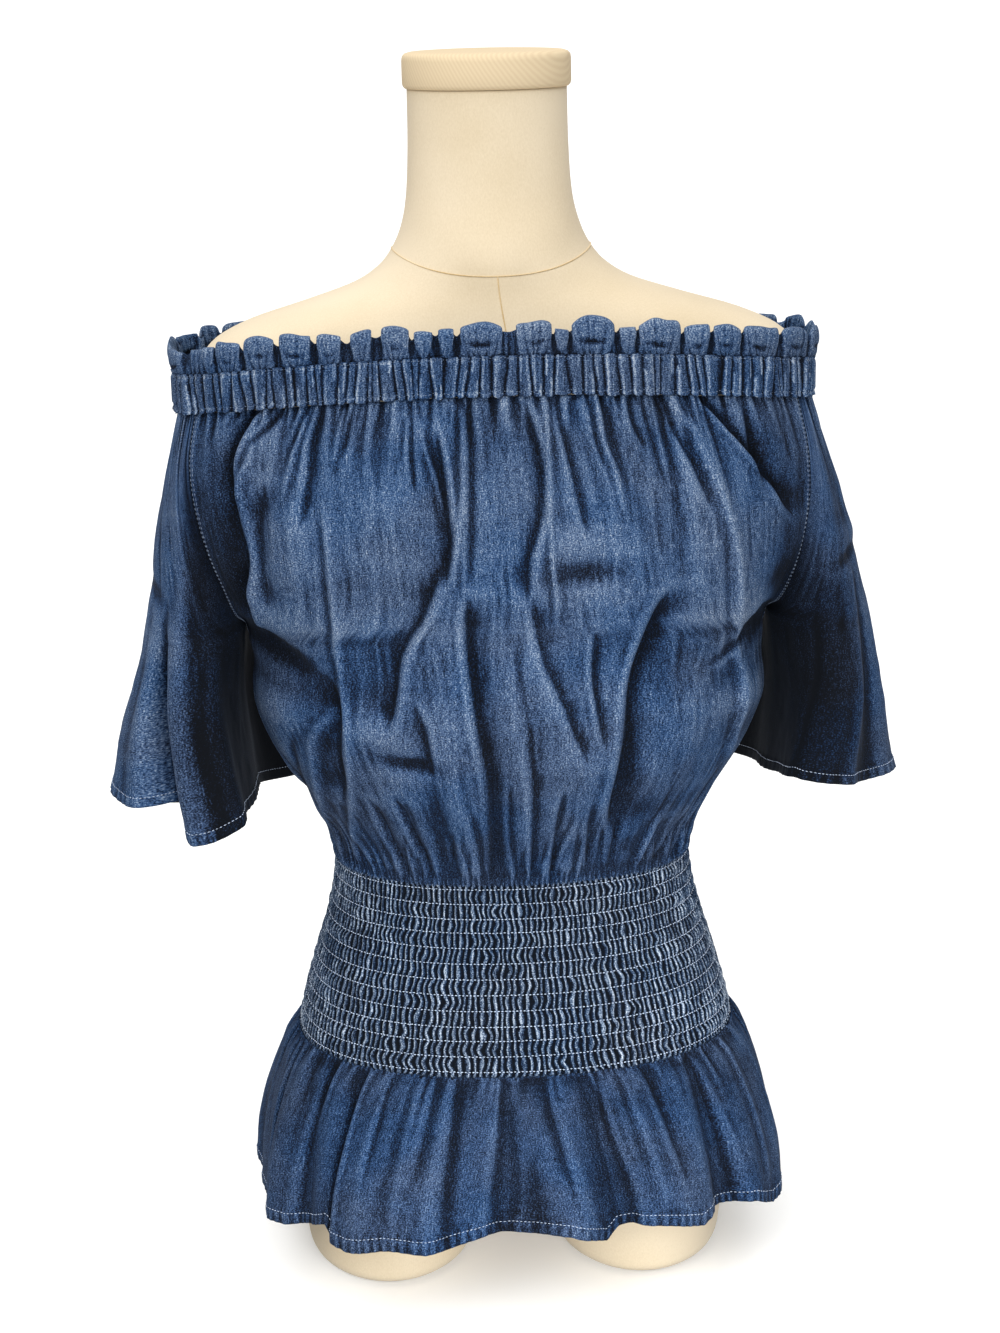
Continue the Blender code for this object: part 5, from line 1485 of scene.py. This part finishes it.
# ---------------------------------------------------------------- peplum
# The short skirt below the shirring, in two panels: gathered where it leaves the last row
# of stitches and falling into loose uneven folds, with a narrow hem turned up twice.

PEPLUM_DROP = 103.0
PEPLUM_WALL = 1.3
# Sections: drop below the shirring, half width, depths in front and behind, and how square
# the rounding is.
PEPLUM = [
    (0, 152.8, 117.4, 124.6, 2.2),
    (16, 160.0, 120.5, 128.5, 2.25),
    (42, 170.0, 129.0, 136.0, 2.35),
    (70, 176.5, 136.0, 144.0, 2.5),
    (95, 178.5, 141.0, 150.0, 2.6),
    (PEPLUM_DROP, 178.5, 142.0, 151.0, 2.6),
]
# Folds by the angle round the body: 0 is +X, 90 the back and 270 the front.
PeplumFold = namedtuple("PeplumFold", "around half_angle rise")
PEPLUM_FOLDS = [
    PeplumFold(14, 7, 4.0), PeplumFold(27, 5, -7.0), PeplumFold(41, 8, 8.0),
    PeplumFold(55, 5, -9.0), PeplumFold(70, 8, 9.0), PeplumFold(84, 5, -9.0),
    PeplumFold(99, 9, 10.0), PeplumFold(114, 5, -8.0), PeplumFold(128, 8, 8.0),
    PeplumFold(142, 5, 2.0), PeplumFold(157, 5, -4.0), PeplumFold(173, 6, 7.0),
    PeplumFold(188, 6, -3.0), PeplumFold(203, 7, 6.0), PeplumFold(218, 6, -7.0),
    PeplumFold(238, 9, 11.0), PeplumFold(254, 8, 11.0), PeplumFold(267, 5, -13.0),
    PeplumFold(276, 5, 13.0), PeplumFold(287, 5, -11.0), PeplumFold(300, 6, 3.0),
    PeplumFold(312, 5, -9.0), PeplumFold(325, 7, 4.0), PeplumFold(342, 7, 5.0),
]
# Sharper creases down the peplum: angle at the top and the bottom, rise, the left side's
# half-angle and how many times wider the right side is, and how far down it runs.
PeplumCrease = namedtuple("PeplumCrease", "top bottom rise half_angle skew reach")
PEPLUM_CREASES = [
    PeplumCrease(217, 214, -3.4, 1.4, 2.0, 1.0), PeplumCrease(229, 228, -8.0, 4.0, 0.3, 1.0),
    PeplumCrease(238, 239, -2.4, 1.0, 1.6, 0.5), PeplumCrease(246, 247, 2.0, 1.4, 2.4, 0.9),
    PeplumCrease(251, 250, -2.6, 1.2, 2.0, 0.5), PeplumCrease(256, 258, -5.5, 1.5, 2.4, 1.0),
    PeplumCrease(266, 267.5, -6.0, 1.2, 3.6, 1.0), PeplumCrease(273, 277, -3.6, 3.0, 0.35, 0.9),
    PeplumCrease(284, 287, -7.5, 5.0, 0.22, 1.0), PeplumCrease(292, 295, 2.4, 1.2, 2.4, 0.8),
    PeplumCrease(299, 302, -3.2, 1.2, 2.6, 0.6), PeplumCrease(314, 319, -6.5, 5.5, 0.26, 1.0),
    PeplumCrease(331, 334, 2.2, 1.6, 1.6, 0.8), PeplumCrease(347, 350, -3.4, 1.4, 2.4, 0.9),
    PeplumCrease(196, 194, -2.8, 1.4, 2.0, 0.8), PeplumCrease(9, 9, -3.2, 1.4, 2.6, 0.8),
    PeplumCrease(33, 36, -4.4, 3.6, 0.3, 1.0), PeplumCrease(62, 63, 2.2, 1.5, 1.6, 0.8),
    PeplumCrease(77, 74, -5.0, 1.3, 3.2, 1.0), PeplumCrease(92, 93, -2.8, 1.1, 1.8, 0.5),
    PeplumCrease(104, 108, -5.5, 4.4, 0.26, 1.0), PeplumCrease(121, 120, 2.2, 1.5, 1.8, 0.7),
    PeplumCrease(135, 138, -4.0, 1.3, 3.0, 0.9), PeplumCrease(150, 150, 2.0, 1.6, 1.4, 0.7),
    PeplumCrease(163, 166, -4.2, 3.4, 0.3, 1.0),
]
# How much higher or lower than its plain edge the front's hem hangs, by angle.
HEM_WAVES = [
    (180, 0), (210, 0), (219, 4), (226.5, 8), (229, -1), (236, -4), (245, -2), (258, -3), (265, 3),
    (275, 4), (278, 0), (281.5, -5), (284, 2), (292, 4), (304, 2), (307.5, 6), (318, 9), (324, 9),
    (330, 3), (336, -2), (345, 0), (360, 0),
]
PEPLUM_GATHERS = [Gathers(6.5, 1.2, 7), Gathers(11, 2.0, 14), Gathers(24, 1.2, 30)]
PEPLUM_SEATED = 14.0         # drop over which it leaves the shirring's own section
PEPLUM_UNEVEN = 0.8
PEPLUM_WRINKLES = 0.3
PEPLUM_FINE_WRINKLES = 0.18
PEPLUM_PUCKER_PITCH = 5.8
PEPLUM_PUCKER_RISE = 0.3
PEPLUM_HEM_STEP = 0.4
PEPLUM_SHADE = 0.17          # painted shade all over
PEPLUM_CREASE_SHADE = 0.010  # painted shade for each millimetre of a crease's depth
HEM_BLUER = 0.02             # where the hem lies double
PEPLUM_PUCKER_PALER = 0.07


def peplum_creased(degrees, part, broader=1.0):
    """How far the peplum's creases lift it, with their broad sides so much broader."""
    lift = np.zeros_like(degrees)
    for crease in PEPLUM_CREASES:
        line = crease.top + (crease.bottom - crease.top) * part
        off = (degrees - line + 180) % 360 - 180
        left = crease.half_angle * (0.6 + 0.6 * part)
        inside = ramp(part, 0, 0.12) * (1 - ramp(part, crease.reach - 0.15, crease.reach + 0.2))
        lift += crease.rise * inside * crease_shape(off, left, crease.skew, broader, 0.2)
    return lift


def make_peplum(name, node, front, rows, columns, seed, edge_seed):
    draw = np.random.default_rng(seed)
    drop = np.linspace(0, PEPLUM_DROP, rows)[:, None]
    angle = (np.pi if front else 0.0) + np.linspace(0, np.pi, columns)[None, :] + 0 * drop
    half_width, front_depth, back_depth, power = along(PEPLUM, drop[:, 0])[..., None]
    x, y = oval(half_width, front_depth, back_depth, power, angle)
    level = WAIST_BOTTOM - SEAM_GAP - drop
    z = level + raised(level, y, front_depth, back_depth)
    base = np.stack([x, y, z], axis=-1)
    edge = waist_points(angle[0], np.full(columns, WAIST_BOTTOM - SEAM_GAP), SEAT)
    seated = (1 - ramp(drop, 0, PEPLUM_SEATED))[..., None]
    base = base * (1 - seated) + edge[None] * seated
    out = out_directions(base)
    uv = cloth_uv(base)
    across = uv[..., 0]
    degrees = np.degrees(angle) % 360
    loose = ramp(drop, 0, PEPLUM_DROP * 0.9)
    lift = np.zeros_like(across)
    for fold in PEPLUM_FOLDS:
        off = (degrees - fold.around + 180) % 360 - 180
        tilt = draw.uniform(-0.4, 0.4)
        width = fold.half_angle * np.where(off < 0, 1 - tilt, 1 + tilt)
        lift += fold.rise * np.exp(-(np.abs(off) / width) ** 1.7) * loose
    part = drop / PEPLUM_DROP
    lift += peplum_creased(degrees, part)
    gathered = gathered_lift(across, drop + 0 * across, PEPLUM_GATHERS, draw)
    lift += gathered
    lift += PEPLUM_UNEVEN * slow_noise(across.shape, 22, 26, draw) * loose
    lift += PEPLUM_WRINKLES * crumpled(across.shape, 11, 30, draw) * (1 - 0.7 * part)
    lift += PEPLUM_FINE_WRINKLES * crumpled(across.shape, 6, 9, draw)
    off_side = off_edges(across)
    lift *= ramp(off_side, 0, 6)
    lift = np.maximum(lift, -4 - 0.1 * drop)
    free = ramp(drop, 0, 9)
    lift = lift * free + edge_ridges(across, edge_seed + BOTTOM_SEED) * (1 - free)
    to_hem = PEPLUM_DROP - drop + 0 * across
    pucker = hem_puckers(across, PEPLUM_PUCKER_PITCH, 10, draw)
    by_hem = (1 - ramp(to_hem, HEM - 1, HEM + 6)) * ramp(off_side, 0, 3)
    lift += PEPLUM_PUCKER_RISE * pucker * by_hem
    lift += PEPLUM_HEM_STEP * (1 - ramp(to_hem, HEM, HEM + 0.9))
    points = base + out * held_off(lift, base, out, PEPLUM_WALL)[..., None]
    points[..., 2] += 1.2 * slow_noise(across.shape, 400, 16, draw) * part
    if front:
        points[..., 2] += np.interp(degrees, *np.transpose(HEM_WAVES)) * part ** 1.5
    # The tone: painted shade all over and in creases and gathers, painted highlight on gathers'
    # tops.
    fade = worn_and_shaded(points, out_directions(points), small=0.8, large=0.35) - PEPLUM_SHADE
    fade += PEPLUM_CREASE_SHADE * np.minimum(0, peplum_creased(degrees, part, broader=1.15))
    fade += GATHER_SHADE * gathered - HEM_BLUER * (to_hem < HEM)
    fade += PEPLUM_PUCKER_PALER * pucker * (1 - ramp(to_hem, HEM - 1, HEM + 2))
    piece = cloth_piece(name, points, uv, fade, PEPLUM_WALL, washed_denim)
    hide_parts(node)
    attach(piece, "root")
    return points, to_hem


peplum_front_points, front_to_hem = make_peplum(
    "front_peplum_panel", "peplum_front", front=True, rows=81, columns=441, seed=61,
    edge_seed=FRONT_SEED)
peplum_back_points, back_to_hem = make_peplum(
    "back_peplum_panel", "peplum_back", front=False, rows=73, columns=361, seed=62,
    edge_seed=BACK_SEED)

# ---------------------------------------------------------------- topstitching
# Pale polyester thread.  It holds the rows of shirring elastic, the casing, the armholes and
# the hems, and shows as short plump stitches that lie on the cloth.

WHITE_THREAD = ("#d3e2fa", "#b4c4dc")        # in the light and where it dips
TONAL_THREAD = ("#8394ad", "#566784")
THREAD_PROUD = 0.3
SHIRRING_PROUD = 0.7
CASING_PROUD = 0.12
HEM_PROUD = 0.2
HEM_STITCH = HEM + 0.6       # from the hem's edge
ARMHOLE_COLUMNS = (1, 4, -2, -5)             # two rows beside each armhole seam


def thread_material(name, light, shade):
    """Polyester sewing thread: a little glossy, its lit colour and a painted shade for where it
    dips spread over it by noise.
    """
    material, tree, shader = new_material(name)
    where = add_node(tree, "ShaderNodeTexCoord").outputs["Object"]
    dip_shade_noise = add_node(tree, "ShaderNodeTexNoise", {"Vector": where, "Scale": 1 / (6 * MM),
                                                 "Detail": 1.0})
    colour = add_node(tree, "ShaderNodeValToRGB", {"Fac": dip_shade_noise.outputs["Fac"]},
                      stops=[(0.3, shade), (0.62, light)])
    set_inputs(tree, shader, {"Base Color": colour.outputs["Color"], "Roughness": 0.6})
    return material


def stitch_tree():
    """A node group that lays short stitches along a mesh's edges."""
    tree = bpy.data.node_groups.new("Stitches along a seam", "GeometryNodeTree")
    tree.interface.new_socket("Geometry", in_out="INPUT", socket_type="NodeSocketGeometry")
    for name in ("Pitch", "Stitch length", "Thread width"):
        tree.interface.new_socket(name, in_out="INPUT", socket_type="NodeSocketFloat")
    tree.interface.new_socket("Thread", in_out="INPUT", socket_type="NodeSocketMaterial")
    tree.interface.new_socket("Geometry", in_out="OUTPUT", socket_type="NodeSocketGeometry")
    given = add_node(tree, "NodeGroupInput").outputs
    line = add_node(tree, "GeometryNodeMeshToCurve", {"Mesh": given["Geometry"]})
    spaced = add_node(tree, "GeometryNodeResampleCurve", {
        "Curve": line.outputs["Curve"], "Length": given["Pitch"]}, mode="LENGTH")
    bead = add_node(tree, "GeometryNodeMeshUVSphere", {"Segments": 4, "Rings": 2, "Radius": 0.5})
    ahead = add_node(tree, "GeometryNodeInputTangent")
    turned = add_node(tree, "FunctionNodeAlignEulerToVector", {
        "Vector": ahead.outputs["Tangent"]}, axis="Z")
    size = add_node(tree, "ShaderNodeCombineXYZ", {
        "X": given["Thread width"], "Y": given["Thread width"], "Z": given["Stitch length"]})
    laid = add_node(tree, "GeometryNodeInstanceOnPoints", {
        "Points": spaced.outputs["Curve"], "Instance": bead.outputs["Mesh"],
        "Rotation": turned.outputs["Rotation"], "Scale": size.outputs["Vector"]})
    real = add_node(tree, "GeometryNodeRealizeInstances", {"Geometry": laid.outputs["Instances"]})
    finished = add_node(tree, "GeometryNodeSetMaterial", {
        "Geometry": real.outputs["Geometry"], "Material": given["Thread"]})
    add_node(tree, "NodeGroupOutput", {"Geometry": finished.outputs["Geometry"]})
    return tree


def sew(name, paths, thread, pitch, length, width):
    """Stitches along paths over the cloth, as one plain mesh."""
    points = [(np.asarray(path) + ORIGIN) * MM for path in paths]
    edges = []
    count = 0
    for path in points:
        edges += [(count + k, count + k + 1) for k in range(len(path) - 1)]
        count += len(path)
    guide = bpy.data.meshes.new(name)
    guide.from_pydata(np.vstack(points).tolist(), edges, [])
    piece = add_object(name, guide)
    laying = piece.modifiers.new("Stitches", "NODES")
    laying.node_group = seam_stitches
    given = {"Pitch": pitch * MM, "Stitch length": length * MM, "Thread width": width * MM,
             "Thread": thread}
    for item in seam_stitches.interface.items_tree:
        if item.item_type == "SOCKET" and item.name in given:
            laying[item.identifier] = given[item.name]
    evaluated = piece.evaluated_get(bpy.context.evaluated_depsgraph_get())
    sewn = bpy.data.meshes.new_from_object(evaluated)
    piece.modifiers.remove(laying)
    piece.data = sewn
    sewn.name = name
    bpy.data.meshes.remove(guide)
    sewn.shade_smooth()
    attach(piece, "root")


def over(points, closed=False, proud=THREAD_PROUD):
    """A grid's points again, moved out to where a thread lies on the cloth."""
    return points + out_directions(points, closed) * proud


def row_nearest(values, target):
    """The number of the row whose value is nearest to a target."""
    return int(np.argmin(np.abs(values - target)))


white_thread = thread_material("Off-white polyester thread", *WHITE_THREAD)
tonal_thread = thread_material("Slate blue polyester thread", *TONAL_THREAD)
seam_stitches = stitch_tree()

shirring_paths = []
for panel, rows_down in ((waist_front_points, front_row), (waist_back_points, back_row)):
    raised_panel = over(blurred(panel, 0, 1), proud=SHIRRING_PROUD)
    for number in range(STITCH_ROWS):
        shirring_paths.append(raised_panel[row_nearest(rows_down, number)])
sew("shirring_stitches", shirring_paths, white_thread,
    pitch=2.6, length=1.9, width=0.8)

casing_levels = np.linspace(CASING_TOP, CASING_BOTTOM, CASING_ROWS)
lifted_casing = over(casing_points, closed=True, proud=CASING_PROUD)
casing_paths = []
for level in (CASING_TOP - TOP_STITCH, CASING_BOTTOM + BOTTOM_STITCH):
    ring = lifted_casing[row_nearest(casing_levels, level)]
    casing_paths.append(np.vstack([ring, ring[:1]]))
sew("casing_stitches", casing_paths, tonal_thread, pitch=2.5, length=1.8, width=0.4)

armhole_paths = []
last_row = row_nearest(front_points[:, 0, 2], UNDERARM)
for panel in (front_points, back_points):
    lifted_panel = over(panel)
    armhole_paths += [lifted_panel[:last_row, column] for column in ARMHOLE_COLUMNS]
sew("armhole_topstitches", armhole_paths, tonal_thread,
    pitch=3.0, length=2.2, width=0.6)

hem_paths = []
for sheet, to_hem, wall in ((right_points, right_to_hem, HEM_WALL),
                            (left_points, left_to_hem, HEM_WALL),
                            (peplum_front_points, front_to_hem, PEPLUM_WALL),
                            (peplum_back_points, back_to_hem, PEPLUM_WALL)):
    row = row_nearest(to_hem[:, to_hem.shape[1] // 2], HEM_STITCH)
    hem_paths.append(over(sheet, proud=HEM_PROUD)[row])
    hem_paths.append(over(sheet, proud=-wall - 0.5)[row])
sew("hem_topstitches", hem_paths, white_thread, pitch=2.8, length=2.3, width=0.5)

# ---------------------------------------------------------------- studio
# A plain pale paper floor that runs back without a wall, under soft frontal light.  The
# camera stands a little above the neck, in front and a touch to one side, and looks down.

FLOOR = "#f6f6f5"
FLOOR_TOOTH = "#f3f3f2"
CAMERA_DISTANCE = 1.6
CAMERA_HEIGHT = 0.868
CAMERA_PITCH = 15.93         # degrees down from level
CAMERA_ROLL = 1.22
CAMERA_AROUND = -2.5
SENSOR_HEIGHT = 36.0
IMAGE_HEIGHT = 1333
IMAGE_WIDTH = 1000
FOCAL_PIXELS = 2500
AXIS_PIXEL = 501             # the image's column on which the camera looks
FLOOR_HALF = 120.0
FLOOR_Z = -0.0004
FLOOR_GLOW = 0.2             # painted glow: the paper shines a little by itself, so that shadows on it stay soft
WHITE = "#ffffff"
WORLD_ABOVE = 0.85
WORLD_BELOW = 0.1
KEY_POWER = 34
FILL_POWER = 7.0
CEILING_POWER = 1.7


def aimed(place, target):
    """The matrix of a lamp or other thing at a place, with its back turned to a target."""
    place, target = np.array(place, float), np.array(target, float)
    back = (place - target) / np.linalg.norm(place - target)
    right = np.cross([0, 0, 1], back)
    right = right / np.linalg.norm(right)
    up = np.cross(back, right)
    return Matrix([[right[k], up[k], back[k], place[k]] for k in range(3)] + [[0, 0, 0, 1]])


def add_softbox(name, place, target, size, power):
    lamp = bpy.data.lights.new(name, "AREA")
    lamp.shape = "SQUARE"
    lamp.size = size
    lamp.energy = power
    add_object(name, lamp).matrix_world = aimed(place, target)


def add_ceiling(power, tilt, spread):
    """Broad even light from above that reaches the whole floor alike."""
    lamp = bpy.data.lights.new("ceiling_diffuser", "SUN")
    lamp.energy = power
    lamp.angle = np.radians(spread)
    light = add_object("ceiling_diffuser", lamp)
    light.matrix_world = Matrix.Rotation(np.radians(tilt), 4, "X")


def make_floor():
    """White studio paper: matt, with a faint tooth."""
    material, tree, shader = new_material("White studio paper")
    where = add_node(tree, "ShaderNodeTexCoord").outputs["Object"]
    tooth = add_node(tree, "ShaderNodeTexNoise", {"Vector": where, "Scale": 400.0})
    colour = add_node(tree, "ShaderNodeValToRGB", {"Fac": tooth.outputs["Fac"]},
                      stops=[(0.3, FLOOR_TOOTH), (0.7, FLOOR)])
    set_inputs(tree, shader, {
        "Base Color": colour.outputs["Color"], "Roughness": 0.95,
        "Emission Color": tint(WHITE), "Emission Strength": FLOOR_GLOW})
    mesh = bpy.data.meshes.new("studio_floor")
    corners = ((-1, -1), (1, -1), (1, 1), (-1, 1))
    mesh.from_pydata([(FLOOR_HALF * x, FLOOR_HALF * y, FLOOR_Z) for x, y in corners], [],
                     [(0, 1, 2, 3)])
    mesh.materials.append(material)
    floor = add_object("studio_floor", mesh)
    floor.visible_diffuse = False        # so it doesn't fill the hollows under the folds


def make_camera():
    lens = bpy.data.cameras.new("camera")
    lens.sensor_fit = "VERTICAL"
    lens.sensor_height = SENSOR_HEIGHT
    lens.lens = SENSOR_HEIGHT * FOCAL_PIXELS / IMAGE_HEIGHT
    lens.shift_x = -(AXIS_PIXEL - IMAGE_WIDTH / 2) / IMAGE_HEIGHT
    camera = add_object("camera", lens)
    stand = Matrix.Translation((0, -CAMERA_DISTANCE, CAMERA_HEIGHT))
    tilt = Matrix.Rotation(np.pi / 2 - np.radians(CAMERA_PITCH), 4, "X")
    roll = Matrix.Rotation(-np.radians(CAMERA_ROLL), 4, "Z")
    camera.matrix_world = (Matrix.Rotation(np.radians(CAMERA_AROUND), 4, "Z")
                           @ stand @ tilt @ roll)
    bpy.context.scene.camera = camera


def make_world():
    """A white tent of cloth round the set: brightest overhead, dim below."""
    world = bpy.data.worlds.new("White studio tent")
    world.use_nodes = True
    tree = world.node_tree
    where = add_node(tree, "ShaderNodeTexCoord").outputs["Generated"]
    part = add_node(tree, "ShaderNodeSeparateXYZ", {"Vector": where})
    level = add_node(tree, "ShaderNodeMapRange", {
        "Value": part.outputs["Z"], "From Min": -1.0, "From Max": 1.0,
        "To Min": WORLD_BELOW, "To Max": WORLD_ABOVE})
    tree.links.new(level.outputs["Result"], tree.nodes["Background"].inputs["Strength"])
    tree.nodes["Background"].inputs["Color"].default_value = tint(WHITE)
    bpy.context.scene.world = world


make_floor()
make_camera()
make_world()
add_softbox("key_softbox", (-1.3, -2.4, 2.3), target=(0, 0, 0.5), size=1.5, power=KEY_POWER)
add_softbox("low_front_fill", (0.1, -0.75, 0.06), target=(0, 0, 0.03), size=0.4,
            power=FILL_POWER)
add_ceiling(CEILING_POWER, tilt=22, spread=70)
bpy.context.scene.view_settings.view_transform = "Standard"
